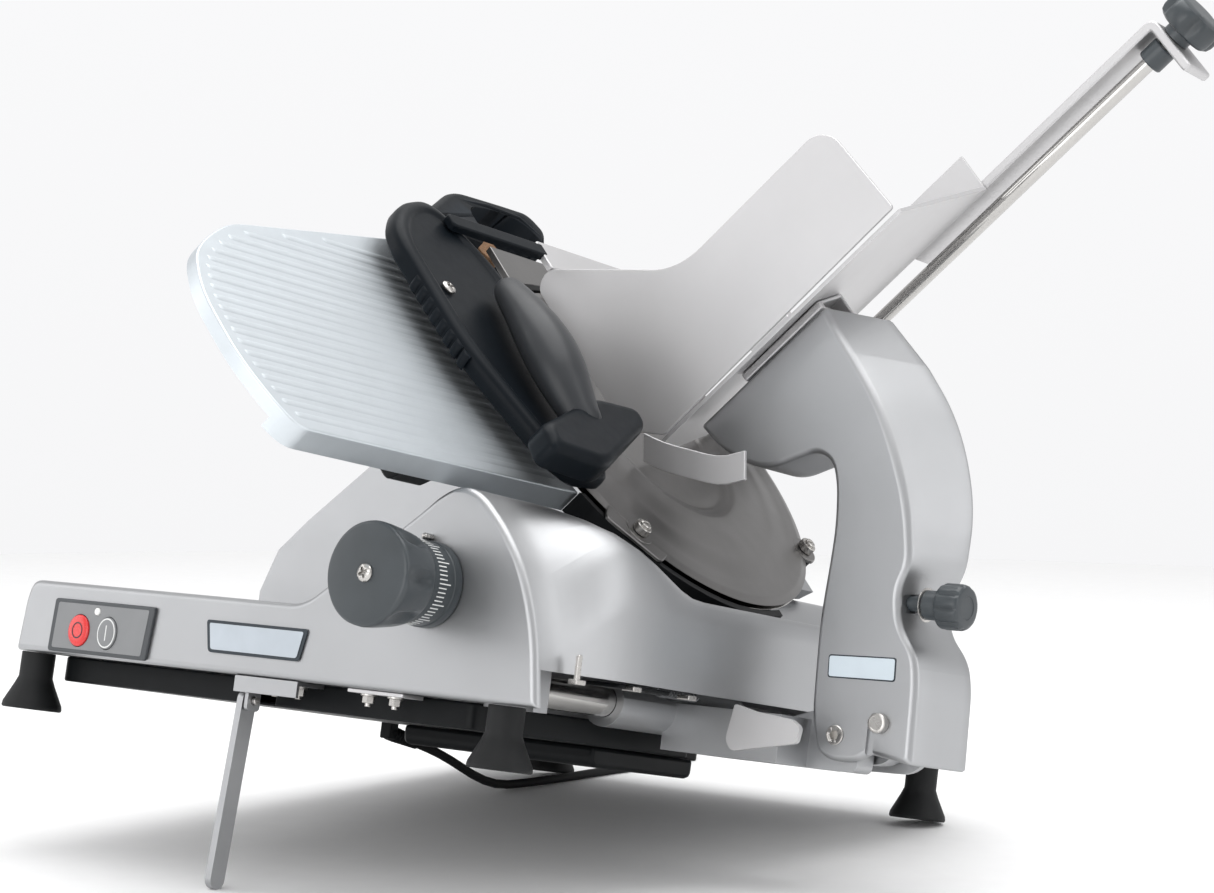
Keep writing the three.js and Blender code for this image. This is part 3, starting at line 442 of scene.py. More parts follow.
def soften(made, bevel, smooth=0):
    """Rounds the edges and keeps the broad faces flat in their shading."""
    if bevel:
        edge = made.modifiers.new("edge", "BEVEL")
        edge.width = bevel * MM
        edge.segments = 2
        edge.limit_method = "ANGLE"
        edge.angle_limit = math.radians(32)
        edge.harden_normals = True
    if smooth:
        rounder = made.modifiers.new("rounder", "SUBSURF")
        rounder.levels = smooth
        rounder.render_levels = smooth
    else:
        flatten = made.modifiers.new("flatten", "WEIGHTED_NORMAL")
        flatten.keep_sharp = True


def refined(node, bevel):
    """Copy of a CAD node with its flat faces merged and its edges rounded."""
    source = frame["nodes"][node]
    mesh = source.data.copy()
    mesh.name = node + "_look"
    clean(mesh, 2e-6, 30, flat=1.2)
    made = add_object(mesh.name, mesh)
    slot = SLOT_OF[node]
    mesh.materials.clear()
    mesh.materials.append(FINISHES[slot])
    soften(made, bevel)
    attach(made, BODY_OF[node])
    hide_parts(node)
    return made


def carve(made, *shapes, place):
    """Cuts shapes out of an object and keeps the result as its mesh."""
    for i, shape in enumerate(shapes):
        tool = piece(f"{made.name}_cut_{i}", shape, place, made.data.materials[0], None, None)
        cutter = made.modifiers.new("cut", "BOOLEAN")
        cutter.operation = "DIFFERENCE"
        cutter.solver = "EXACT"
        cutter.object = tool
        bpy.context.view_layer.update()
        result = bpy.data.meshes.new_from_object(
            made.evaluated_get(bpy.context.evaluated_depsgraph_get()))
        made.modifiers.clear()
        made.data = result
        bpy.data.objects.remove(tool, do_unlink=True)
    shade(made.data, 35)
    soften(made, 0)


SLOT_OF = {row["node"]: row["material_slot"] for row in frame["record"]["subparts"]}
BODY_OF = {node: body for body, nodes in frame["record"]["behaviour"]["bodies"].items()
           for node in nodes}

# ---- cord ----

CORD_RADIUS = 4.0
COIL_CENTRE = (76, 700)
COIL_OUTER = 55.6                      # radius of the outermost turn's centreline
COIL_PITCH = 9.4
COIL_LEVEL = 4.1                       # height of the cord's centreline where it lies on the floor
LAYER_RISE = 8.1
SECOND_LEVEL = COIL_LEVEL + LAYER_RISE
GLAND = Vector((85, 340, 17))
GLAND_DIRECTION = Vector((0.11, 0.973, -0.192)).normalized()
STRAIN_RELIEF = 32
CORD_ROUTE = [(88.6, 367, 51), (90, 380, 45.6), (91.6, 393, 39.6), (93.3, 406, 32.7),
              (95.2, 419, 25), (97.3, 432, 17.3), (99.8, 445, 10.8), (102.6, 458, 6.4),
              (105.6, 471, 4.4), (108.8, 484, 4.1), (112, 498, 4.1), (114.8, 512, 4.1),
              (117, 527, 4.1), (118.8, 542, 4.1), (119.4, 557, 4.1), (120.2, 573, 4.1),
              (121.4, 590, 4.1), (123.2, 607, 4.1), (125.6, 623, 4.1), (128.4, 639, 4.1),
              (130.8, 655, 4.1), (131.6, 668.8, 4.1)]

# The cord's own frame is level, with its origin below the front left foot's.
floor_origin = MACHINE @ Vector((0, 0, 0))
FLOOR = Matrix.Translation((floor_origin.x, floor_origin.y, 0)) @ Matrix.Scale(MM, 4)


def coil_points(turns_in, turns_out):
    """Flat spiral inwards, a rise to a second layer, and a spiral back outwards."""
    points = []
    per_turn = 30
    rise_turn = 0.2
    total = turns_in + rise_turn + turns_out
    count = int(total * per_turn)
    for i in range(count + 1):
        turn = total * i / count
        if turn <= turns_in:
            radius, height = COIL_OUTER - COIL_PITCH * turn, COIL_LEVEL
        elif turn <= turns_in + rise_turn:
            share = (turn - turns_in) / rise_turn
            radius = COIL_OUTER - COIL_PITCH * turns_in
            height = COIL_LEVEL + LAYER_RISE * (share * share * (3 - 2 * share))
        else:
            radius = COIL_OUTER - COIL_PITCH * (turns_in - (turn - turns_in - rise_turn))
            height = SECOND_LEVEL
        angle = math.tau * turn
        points.append((COIL_CENTRE[0] + radius * math.cos(angle),
                       COIL_CENTRE[1] + radius * math.sin(angle), height))
    return points


def ribs(count, start, pitch, radius, growth, depth, flat):
    """Part of a profile with ribs, each wider or narrower than the last."""
    profile = []
    for i in range(count):
        low, wide = start + i * pitch, radius + i * growth
        profile += [(wide - depth, low), (wide, low + depth - 0.1), (wide, low + flat),
                    (wide - depth, low + flat + depth - 0.1)]
    return profile


gland_tip = GLAND + GLAND_DIRECTION * STRAIN_RELIEF
exit_point = MACHINE @ gland_tip
exit_level = FLOOR.inverted() @ exit_point
plug_lead = [(COIL_CENTRE[0] - run, COIL_CENTRE[1] + COIL_OUTER, SECOND_LEVEL) for run in (18, 36)]
cord_path = [tuple(exit_level)] + CORD_ROUTE + coil_points(2.52, 2.53) + plug_lead

cord_data = bpy.data.curves.new("mains_cord", "CURVE")
cord_data.dimensions = "3D"
cord_data.bevel_depth = CORD_RADIUS * MM
cord_data.bevel_resolution = 4
cord_data.resolution_u = 3
cord_data.use_fill_caps = True
spline = cord_data.splines.new("POLY")
spline.points.add(len(cord_path) - 1)
for point, place_mm in zip(spline.points, cord_path):
    point.co = (*(FLOOR @ Vector(place_mm)), 1)
mains_cord = add_object("mains_cord", cord_data)
cord_data.materials.append(FINISHES["black_rubber"])
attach(mains_cord, "base")
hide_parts("power_cord", "cord_coil")

PLUG_PLACE = (FLOOR @ shift(COIL_CENTRE[0] - 34, COIL_CENTRE[1] + COIL_OUTER, SECOND_LEVEL)
              @ Matrix.Rotation(math.radians(-90), 4, "Y"))
sleeve_profile = [(0, 0), (5.0, 0)] + ribs(5, 1, 4.4, 5.2, 0.66, 0.9, 2.6) + [(8.3, 24), (8.3, 27), (0, 27)]
plug_body = block(-12, -14, 12, 14, 7, 24, 58, top=2.5, bottom=3)
plug_grip = [block(-12.1, -9, 12.1, 9, 1, 30 + 4 * i, 32 + 4 * i, top=0.8, bottom=0.8)
             for i in range(5)]
plug_look = piece("plug_look", merged(lathe(sleeve_profile, 28), plug_body, *plug_grip), PLUG_PLACE,
                  FINISHES["black_plastic"], "base", "black_plastic", ["power_plug"])
pin_shapes = [block(-3, side - 0.8, 3, side + 0.8, 0.6, 56, 75, top=0.6) for side in (-6.5, 6.5)]
pin_shapes.append(moved(lathe([(0, 56), (2.4, 56), (2.4, 75.6), (1.4, 77), (0, 77)], 16),
                        shift(6.5, 0, 0)))
plug_pins = piece("plug_pins", merged(*pin_shapes), PLUG_PLACE, FINISHES["polished_steel"], "base",
                  "polished_steel")

relief_profile = ([(0, -4), (6.9, -4), (6.9, 1)] + ribs(7, 2, 4.1, 6.9, -0.24, 0.8, 2.2)
                  + [(5.2, 31), (4.4, 32), (0, 32)])
gland_turn = GLAND_DIRECTION.to_track_quat("Z", "Y").to_matrix().to_4x4()
gland_block = block(79, 331, 91, 342, 2, 12, 25.7, bottom=1.5)
piece("gland_look", merged(moved(lathe(relief_profile, 28), shift(*GLAND) @ gland_turn), gland_block),
      MACHINE, FINISHES["black_plastic"], "base", "black_plastic", ["cord_gland"])


# ---- stage and light ----

def backdrop():
    """Pale level floor, round so that it looks the same from every side."""
    reach, sides = 3.0, 96
    floor = add_object("floor", bpy.data.meshes.new("floor"))
    floor.data.from_pydata([(x, y, 0) for x, y in circle(0, 0, reach, sides)], [], [range(sides)])
    floor.data.materials.append(material("floor", (0.92, 0.92, 0.92), 0, 0.75, tint=0.01, bump=0.02))


def area_light(name, place, size, power):
    data = bpy.data.lights.new(name, "AREA")
    data.shape = "RECTANGLE"
    data.size, data.size_y = size
    data.energy = power
    light = add_object(name, data)
    light.location = place
    aim = LIGHT_TARGET - Vector(place)
    light.rotation_euler = aim.to_track_quat("-Z", "Y").to_euler()


backdrop()
LIGHT_TARGET = Vector((0, 0, 0.3))
LIGHTS = {                    # place, size and power in watts
    "top_softbox": ((0.1, 0.2, 2.4), (2.6, 2.0), 42),
    "left_softbox": ((-2.3, -1.5, 1.3), (1.4, 2.0), 13),
    "right_strip": ((2.4, 0.4, 1.2), (0.8, 2.2), 10),
    "front_fill": ((0.2, -2.8, 0.9), (2.4, 1.6), 24),
}
for light_name, (light_place, light_size, power) in LIGHTS.items():
    area_light(light_name, light_place, light_size, power)

# Brightness of the sky from straight below (0) over the horizon (0.5) to straight above (1).
SKY_BANDS = ((0.0, 0.45), (0.40, 0.60), (0.45, 0.97), (0.56, 1.0), (0.66, 0.72), (1.0, 0.66))
SKY_STRENGTH = 0.95


def studio_sky():
    """Soft world light, brightest at the horizon."""
    world = bpy.data.worlds.new("studio")
    bpy.context.scene.world = world
    world.use_nodes = True
    nodes, links = world.node_tree.nodes, world.node_tree.links
    direction = nodes.new("ShaderNodeTexCoord")
    split = nodes.new("ShaderNodeSeparateXYZ")
    bands = nodes.new("ShaderNodeValToRGB")
    lift = nodes.new("ShaderNodeMapRange")
    lift.inputs["From Min"].default_value = -1
    links.new(direction.outputs["Generated"], split.inputs["Vector"])
    links.new(split.outputs["Z"], lift.inputs["Value"])
    links.new(lift.outputs["Result"], bands.inputs["Fac"])
    for position, level in SKY_BANDS:
        stop = bands.color_ramp.elements.new(position)
        stop.color = (level, level, level * 1.01, 1)
    bands.color_ramp.elements.remove(bands.color_ramp.elements[0])
    links.new(bands.outputs["Color"], nodes["Background"].inputs["Color"])
    nodes["Background"].inputs["Strength"].default_value = SKY_STRENGTH


studio_sky()
bpy.context.scene.view_settings.view_transform = "Standard"


# ---- pieces ----

REPLACED = {"power_cord", "cord_coil", "power_plug", "cord_gland"}
BEVELS = {"motor_housing": 4, "bottom_pan": 2.5, "control_box": 3, "tray_bracket": 1.2,
          "guide_bar": 1.6, "transport_block": 2, "finger_guard": 0.6, "gauge_bracket": 2}


def show(name, shape, place, body, slot, replaces=(), finish=None, **options):
    """A finished piece that also records which CAD nodes it stands for."""
    REPLACED.update(replaces)
    return piece(name, shape, place, finish or FINISHES[slot], body, slot, replaces, **options)


# ---- base casting ----

BASE_FRONT, BASE_REAR, BASE_BOTTOM, BASE_RIGHT = -20, 590, 46, 540
DECK_TOP = 103
KNOB = (417, 125)                      # axis of the thickness knob, x and z
DECK = [(-7, BASE_BOTTOM, 2), (-3, 88, 14), (2, DECK_TOP, 9), (290, DECK_TOP, 9), (303, 108, 9)]
FRONT_HUMP = [(398, 176.6, 8), (414.5, 189.8, 8), (429, 197.2, 12), (444, 197, 10), (457, 190, 12),
              (477, 172, 16), (497, 147, 16), (510, 120, 16), (519, 92, 16), (527, BASE_BOTTOM, 2)]
MIDDLE_HUMP = [(398, 168.5, 8), (413, 181.5, 8), (429, 188.5, 12), (446, 190, 10), (470, 188, 20),
               (493, 185, 20), (514, 179, 20), (531, 166, 20), (540, 138, 20),
               (540, BASE_BOTTOM, 2)]
REAR_HUMP = [(398, 160, 16), (415, 167, 10), (430, 168, 12), (446, 156, 10), (480, 118, 12),
             (500, 121, 12), (520, 137, 10), (535, 142, 6), (540, 130, 8), (540, BASE_BOTTOM, 2)]
STATIONS = [(-20, FRONT_HUMP, 0), (60, MIDDLE_HUMP, 0), (152, REAR_HUMP, 0), (510, REAR_HUMP, 0),
            (555, REAR_HUMP, 20), (590, REAR_HUMP, 40)]
CORNER_START = 480


def ease(t):
    return t * t * (3 - 2 * t)


def slope(index, corner, value):
    """Rate at which a corner's value changes at a station, so that the skin has no kinks."""
    if index == 0 or index > 1:
        return 0.0
    (y0, hump0, _), (y1, hump1, _) = STATIONS[index - 1], STATIONS[index + 1]
    return (hump1[corner][value] - hump0[corner][value]) / (y1 - y0)


def base_section(y, wall):
    """Cross-section of the base at a place along it, moved inwards by a wall."""
    for index, ((y0, hump0, drawn0), (y1, hump1, drawn1)) in enumerate(zip(STATIONS, STATIONS[1:])):
        if y <= y1 or y1 == BASE_REAR:
            break
    t = min(max((y - y0) / (y1 - y0), 0), 1)
    weights = (2 * t ** 3 - 3 * t ** 2 + 1, 3 * t ** 2 - 2 * t ** 3,
               (t ** 3 - 2 * t ** 2 + t) * (y1 - y0), (t ** 3 - t ** 2) * (y1 - y0))
    hump = [tuple(weights[0] * a + weights[1] * b + weights[2] * slope(index, corner, value)
                  + weights[3] * slope(index + 1, corner, value)
                  for value, (a, b) in enumerate(zip(p, q)))
            for corner, (p, q) in enumerate(zip(hump0, hump1))]
    outline = rounded(inset(DECK + hump, -wall), steps=5)
    drawn = drawn0 * (1 - t) + drawn1 * t
    squeeze = 1 - drawn / (BASE_RIGHT - wall - CORNER_START)
    return [(CORNER_START + (x - CORNER_START) * squeeze if x > CORNER_START else x, z)
            for x, z in outline]


def base_loft(wall, edge, low=None):
    """Body of the base with its front and rear edges rounded."""
    levels = [(BASE_FRONT + wall + edge * along, wall + edge * inwards) for along, inwards in quarter(6)]
    levels += [(y, wall) for y in (-4, 6, 18, 30, 42, 54, 66, 80, 95, 110, 125, 140, 155, 240, 340,
                                   440, 510, 525, 540, 555, 568, 578)]
    levels += [(BASE_REAR - wall - edge * along, wall + edge * inwards) for inwards, along in quarter(6)]
    rings = [[(x, z, -y) for x, z in base_section(y, inwards)] for y, inwards in levels]
    if low is not None:
        rings = [[(x, low if z < BASE_BOTTOM + wall + edge + 1 else z, w) for x, z, w in ring]
                 for ring in rings]
    return loft(rings)


base = show("base_look", base_loft(0, 5), FRONT, "base", "cast_aluminium", ["base_casting"])
carve(base, base_loft(5, 0, low=BASE_BOTTOM - 20), place=FRONT)
carve(base, block(508, 20, 560, 73, 0, -600, 14),
      slab([(50, 50, 2), (128, 50, 2), (130, 84, 2), (52, 84, 2)], 12, 26),
      rod(*KNOB, 7.5, 5, 30), place=FRONT)


# ---- front panel details ----

def button_dome(u, v, half_width, half_height, low, high):
    """Oval button with a crowned face."""
    rings = []
    for share, height in ((1, low), (1, high - 1.6), (0.97, high - 0.9), (0.9, high - 0.4),
                          (0.75, high - 0.15), (0.5, high)):
        rings.append([(x, y, height) for x, y in circle(u, v, half_width * share, 40,
                                                         half_height * share)])
    return loft(rings)


def ring_shape(outer, inner, low, high):
    """Flat ring between two outlines of equal length."""
    rings = [[(x, y, low) for x, y in outer], [(x, y, high) for x, y in outer],
             [(x, y, high) for x, y in inner], [(x, y, low) for x, y in inner]]
    return loft(rings + [rings[0]], caps=False)


PANEL_BACK, PANEL_FACE = 20.3, 22.9
STOP_AT, START_AT, LAMP_AT = (67, 66), (99, 66), (85, 82)
STOP_SIZE, START_SIZE = (11.4, 12.5), (10.4, 12.5)        # half width, half height
frame_outline = rounded([(33, 48, 3), (143, 48, 3), (147, 90, 3), (35, 90, 3)])
face_outline = rounded([(38, 51, 2), (138, 51, 2), (141.5, 87, 2), (40, 87, 2)])
switch_holes = [prism(circle(*STOP_AT, 11.9, 40, 13), 10, 30),
                prism(circle(*START_AT, 10.9, 40, 13), 10, 30),
                rod(*LAMP_AT, 3.3, 10, 30, 20)]
panel = show("switch_frame", prism(frame_outline, PANEL_BACK, PANEL_FACE, top=1.2), FRONT, "base",
             "grey_plastic", ["switch_plate"], finish=PANEL_DARK)
carve(panel, *switch_holes, place=FRONT)
panel_face = show("switch_face", prism(face_outline, PANEL_FACE - 1, PANEL_FACE + 0.35, top=0.3),
                  FRONT, "base", "grey_plastic", finish=PANEL_GREY)
carve(panel_face, *switch_holes, place=FRONT)
show("stop_look", button_dome(*STOP_AT, *STOP_SIZE, 17, 25.3), FRONT, "stop_button", "red_plastic",
     ["stop_button"])
show("start_look", button_dome(*START_AT, *START_SIZE, 17, 25.3), FRONT, "start_button", "grey_plastic",
     ["start_button"], finish=PANEL_GREY)
show("stop_mark", ring_shape(circle(*STOP_AT, 5.8, 32, 6.4), circle(*STOP_AT, 4.9, 32, 5.4),
                             24.9, 25.5),
     FRONT, "stop_button", "red_plastic", finish=DARK_INK)
show("start_ring", ring_shape(circle(*START_AT, 9.6, 36, 11.6), circle(*START_AT, 8.4, 36, 10.2),
                              24.2, 25.0),
     FRONT, "start_button", "grey_plastic", finish=WHITE_INK)
show("start_mark", block(98.5, 60, 99.5, 72, .4, 24.9, 25.5, top=0.2), FRONT, "start_button",
     "grey_plastic", finish=WHITE_INK)
show("lamp_look", button_dome(*LAMP_AT, 3.1, 3.1, 20, 24.4), FRONT, "base", "lens",
     ["indicator_lamp"])
badge = rounded([(203, 84, 2), (208, 61, 3), (301, 61, 3), (306, 84, 2)])
show("badge_rim", prism(list(reversed(badge)), 20.0, 21.3, top=0.7), FRONT, "base",
     "cast_aluminium", finish=DARK_INK)
inner_badge = rounded([(206.4, 82, 1.2), (210.4, 63, 2), (298.6, 63, 2), (302.6, 82, 1.2)])
show("badge_face_plate", prism(list(reversed(inner_badge)), 20.2, 21.7, top=0.4), FRONT, "base",
     "cast_aluminium", finish=BADGE_FACE)


# ---- thickness knob and dial ----

def cross_screw(name, seat, radius, height, depth, place, body, turn=0.0):
    """Pan-head screw on its seat, with a cross recess."""
    head = lathe([(0, 0), (radius, 0), (radius, height * 0.35), (radius * 0.9, height * 0.7),
                  (radius * 0.6, height * 0.95), (0, height)], 28)
    made = show(name, moved(head, shift(*seat)), place, body, "screw_steel")
    arm, half = radius * 0.62, radius * 0.13
    cross = [(-half, -arm), (half, -arm), (half, -half), (arm, -half), (arm, half), (half, half),
             (half, arm), (-half, arm), (-half, half), (-arm, half), (-arm, -half), (-half, -half)]
    recess = prism(cross, height - depth, height + 2.5)
    carve(made, moved(recess, shift(*seat) @ Matrix.Rotation(turn, 4, "Z")), place=place)


dial_profile = [(0, 20.3), (24, 20.4), (30.8, 20.4), (31.3, 21), (31.3, 27.4), (30.9, 28.2),
                (30.7, 28.6), (30.4, 29.4), (30.2, 49.6), (29.4, 50.4), (0, 50.4)]
dial = moved(lathe(dial_profile, 64), shift(*KNOB, 0))
dial_shaft = moved(shaft(7, -15, 21), shift(*KNOB, 0))
show("dial_look", merged(dial, dial_shaft), FRONT, "index_control", "black_plastic",
     ["index_dial"], finish=FINISHES["knob_plastic"])
marks = []
for step in range(60):
    turn = math.tau * step / 60
    start = 32.6 if step % 5 == 0 else 36.4
    bar = [(-0.42, start), (0.42, start), (0.42, 44.6), (-0.42, 44.6)]
    face = [(30.0, a, w) for a, w in bar] + [(30.5, a, w) for a, w in bar]
    mark = (face, [(3, 2, 1, 0), (4, 5, 6, 7), (0, 1, 5, 4), (1, 2, 6, 5), (2, 3, 7, 6), (3, 0, 4, 7)])
    marks.append(moved(mark, shift(*KNOB, 0) @ Matrix.Rotation(turn, 4, "Z")))
show("dial_marks", merged(*marks), FRONT, "index_control", "black_plastic", finish=WHITE_INK)


def fluted(levels, lobes, steps_per_lobe=10, sharpness=2):
    """Knob about z with scoops between its lobes, from (radius, height, scoop) levels."""
    turns = [math.tau * i / (lobes * steps_per_lobe) for i in range(lobes * steps_per_lobe)]
    rings = []
    for radius, height, scoop in levels:
        reaches = [radius - scoop * max(0.0, math.cos(lobes * a)) ** sharpness for a in turns]
        rings.append([(reach * math.cos(a), reach * math.sin(a), height)
                      for reach, a in zip(reaches, turns)])
    return loft(rings)


knob_levels = [(20, 50.6, 0), (29, 50.7, 0), (31.6, 51.4, 0.3), (33, 53.4, 1.4), (33.8, 56.4, 3.2),
               (34.6, 60, 4.8), (35.4, 65, 5.6), (36.2, 70, 5.4), (36.9, 75, 4.4), (37.4, 79.4, 2.9),
               (37.7, 83, 1.5), (37.8, 85.6, 0.6), (37.4, 87.4, 0.15), (36.4, 88.5, 0), (34.6, 89, 0),
               (24, 89.4, 0), (12, 89.6, 0), (6, 89.6, 0)]
show("knob_look", moved(fluted(knob_levels, 7, 12, 1.5), shift(*KNOB, 0)), FRONT, "index_control",
     "knob_plastic", ["index_knob"])
cross_screw("knob_screw", (*KNOB, 89.5), 6.6, 3.4, 2.2, FRONT, "index_control", 0.4)
ball = lathe([(0, -2.6)] + [(2.6 * math.sin(math.radians(a)), -2.6 * math.cos(math.radians(a)))
                            for a in range(20, 180, 20)] + [(0, 2.6)], 20)
stem = lathe([(0, 0), (2.5, 0), (2.5, 5.0), (1.6, 6.0), (0, 6.0)], 20)
show("pointer_look", merged(moved(stem, shift(413, 159, 20.2)), moved(ball, shift(413, 159, 27.2))),
     FRONT, "base", "screw_steel", ["index_pointer"])


# ---- arm ----

ARM_FRONT, ARM_REAR = 230, 285
ARM_PIVOT, LATCH = (612, 56), (650, 68)    # x and z of their axes
RELEASE = (668, 245, 158.5)
ARM_FREE = [(597, 43, 0, 6), (606, 38, 0, 6), (618, 37, 0, 6), (634, 39, 0, 6), (642, 45, 0, 3),
            (678, 40, 17, 3), (676, 100, 17, 14), (672, 121, 16, 12), (655, 142, 14, 12),
            (651, 167, 15, 10), (659, 187, 18, 12), (651, 230, 28, 20), (634, 271, 35, 22),
            (613, 309, 38, 22), (587, 341, 38, 3)]
ARM_TOP = [(*machine_point(-37.5, 199), 30, 2), (*machine_point(-37.5, 60), 0, 3),
           (472, 268, 0, 12), (500, 255, 0, 16), (524, 251, 0, 16), (546, 260, 0, 14),
           (566, 267, 0, 12), (580, 260, 0, 12), (586, 242, 0, 14), (589, 212, 0, 20),
           (588, 185, 0, 20), (585, 141, 0, 24), (588, 69, 0, 18)]
arm_rings = []
for y, inwards in ((230.0, 4.4), (230.3, 2.9), (231.2, 1.6), (232.6, 0.6), (234.4, 0.0), (248, 0),
                   (262, 0), (276, 0), (281.4, 0), (283.4, 0.6), (284.6, 1.8), (285, 3.2)):
    share = (y - ARM_FRONT) / (ARM_REAR - ARM_FRONT)
    coarse = [(x + wide * share, z, radius) for x, z, wide, radius in ARM_FREE + ARM_TOP]
    arm_rings.append([(x, z, -y) for x, z in rounded(inset(coarse, inwards), steps=6)])
arm = show("arm_look", loft(arm_rings), FRONT, "arm", "cast_aluminium", ["carriage_arm"])
LUG_WALL = 6.5
lug_slot = block(560, 10, 662, 92, 0, -264, -(ARM_FRONT + LUG_WALL))
latch_slot = block(639.5, 36, 646, 66, 2, -232.6, -220)
carve(arm, lug_slot, rod(*ARM_PIVOT, 5.3, -320, -200),
      rod(*LATCH, 4.3, -240, -200), latch_slot, place=FRONT)
carve(arm, rod(*RELEASE[1:], 6.3, 628, 688), place=SIDE)


# ---- gauge plate ----

GAUGE_FACE = -3.5
GAUGE_CUTOUT = 168.5
GAUGE_CORNERS = [(-461, -75, 13), (-130, -75, 0.5), (-130, 60, 1), (-204, 178, 6), (-411, 134, 20),
                 (-449, 108, 24), (-471, 87, 24), (-487, 46, 40), (-485, -14, 60), (-474, -50, 20)]


def gauge_prism(inwards, low, high, edge):
    """Plate with its face edge rounded."""
    levels = [(high - edge * drop, inwards + edge * more) for more, drop in quarter(4)]
    return stacked(GAUGE_CORNERS, [(low, inwards)] + levels)


def gauge_width(y, margin):
    """Left and right ends of the plate's face at a height, inside its edge and the knife's gap."""
    outline = rounded(inset(GAUGE_CORNERS, margin))
    crossings = []
    for (x0, y0), (x1, y1) in zip(outline, outline[1:] + outline[:1]):
        if (y0 - y) * (y1 - y) < 0:
            crossings.append(x0 + (x1 - x0) * (y - y0) / (y1 - y0))
    left, right = min(crossings), max(crossings)
    reach = GAUGE_CUTOUT + margin
    if abs(y) < reach:
        right = min(right, -math.sqrt(reach ** 2 - y ** 2))
    return left, right


gauge = show("gauge_look", gauge_prism(0, GAUGE_FACE - 20, GAUGE_FACE, 1.6), KNIFE, "gauge",
             "gauge_aluminium", ["gauge_plate"])
carve(gauge, gauge_prism(4, GAUGE_FACE - 26, GAUGE_FACE - 6, 1.5),
      block(-520, -58, -400, 200, 0, GAUGE_FACE - 40, GAUGE_FACE - 11),
      prism([(-200, -71), (-100, -71), (-100, 200), (-200, 200), (-330, 200), (-330, 140)],
            GAUGE_FACE - 26, GAUGE_FACE - 6),
      rod(0, 0, GAUGE_CUTOUT, -60, 20, 96), place=KNIFE)

RIB_PITCH, RIB_WIDTH, RIB_HEIGHT = 10.5, 6.0, 0.42
RIB_START, RIB_END, RIB_MARGIN, SHORTEST_RIB = -62.0, 150, 9, 12
rib_shapes = []
rib_y = RIB_START
while rib_y < RIB_END:
    left, right = gauge_width(rib_y, RIB_MARGIN)
    if right - left > SHORTEST_RIB:
        half = RIB_WIDTH / 2
        section = [(-half, -0.4), (-half, 0.0), (-half * 0.7, RIB_HEIGHT * 0.7),
                   (-half * 0.3, RIB_HEIGHT), (half * 0.3, RIB_HEIGHT), (half * 0.7, RIB_HEIGHT * 0.7),
                   (half, 0.0), (half, -0.4)]
        rings = []
        for x, share in ((left, 0.2), (left + 2, 0.8), (left + 4, 1), (right - 4, 1),
                         (right - 2, 0.8), (right, 0.2)):
            rings.append([(x, rib_y + a * (0.6 + 0.4 * share), GAUGE_FACE + (w if w < 0 else w * share))
                          for a, w in section])
        rib_shapes.append(loft(rings))
    rib_y += RIB_PITCH
show("gauge_ribs", merged(*rib_shapes), KNIFE, "gauge", "gauge_aluminium")


# ---- knife cover and guard ----

def cover_height(radius):
    """Height of the shallow dish at a distance from its centre."""
    stops = [(0, 4.4), (58, 4.4), (67, 4.2), (73, 6.6), (80, 8.4), (92, 8.4), (118, 7.0), (143, 4.7),
             (157, 4.3), (161, 3.0), (164, 2.2)]
    for (r0, z0), (r1, z1) in zip(stops, stops[1:]):
        if radius <= r1:
            return z0 + (z1 - z0) * ease((radius - r0) / (r1 - r0))
    return stops[-1][1]


dish = lathe([(0, 1.2), (162, 1.2), (164, 1.7), (164, 2.2)]
             + [(r, cover_height(r)) for r in list(range(162, 0, -2))] + [(0, 4.4)], 128)
cover = show("cover_look", moved(dish, shift(0, -1, 0)), KNIFE, "base", "cover_steel",
             ["knife_cover"])
chord = moved(block(124, -220, 300, 220, 0, -5, 40), Matrix.Rotation(math.radians(166), 4, "Z"))
carve(cover, chord, place=KNIFE)
ear = slab([(-145, -103, 6), (-103, -141, 6), (-72, -120, 4), (-118, -74, 4)], 1.25, 3.9, top=1)
lug_shapes = [moved(lathe([(0, 1.3), (13, 1.3), (13, 3.4), (12.2, 4.6), (0, 4.6)], 40), shift(x, y, 0))
              for x, y in ((-111, -112), (136, -88))]
show("cover_ears", merged(ear, *lug_shapes), KNIFE, "base", "cover_steel")


def thumb_screw(name, x, y, node, body):
    """Knurled thumbscrew with a turned rim and a slotted button."""
    ridges = 28
    levels = [(6.2, 4.9, 0), (7, 5.3, 0.25), (7, 10.6, 0.25), (6.4, 11.2, 0)]
    rings = [[((r - dip * (k % 2)) * math.cos(math.tau * k / (2 * ridges)),
               (r - dip * (k % 2)) * math.sin(math.tau * k / (2 * ridges)), z)
              for k in range(2 * ridges)] for r, z, dip in levels]
    button = lathe([(0, 11.0), (4.6, 11.0), (4.6, 12.6), (3.9, 13.3), (0, 13.4)], 28)
    made = show(name, moved(merged(loft(rings), button), shift(x, y, 0)), KNIFE, body, "screw_steel",
                [node])
    carve(made, block(x - 6, y - 0.6, x + 6, y + 0.6, 0, 12.4, 20), place=KNIFE)


thumb_screw("screw_front_look", -111, -112, "cover_screw_front", "cover_screw_front")
thumb_screw("screw_rear_look", 136, -88, "cover_screw_rear", "cover_screw_rear")


# ---- product wall and tray ----

WALL_FRONT, WALL_THICKNESS = -62, 3
wall_outline = rounded([(-36, 41, 4), (-8, 14, 6), (146, 14, 10), (153, 30, 16), (101, 86, 30),
                        (63, 125, 40), (63, 279, 16), (50, 292, 16), (-33, 298, 3)], steps=10)
show("wall_look", prism(wall_outline, WALL_FRONT, WALL_FRONT + WALL_THICKNESS, top=0.9,
                        bottom=0.9), ACROSS, "arm", "sheet_aluminium", ["product_wall"])


# ---- meat grip ----

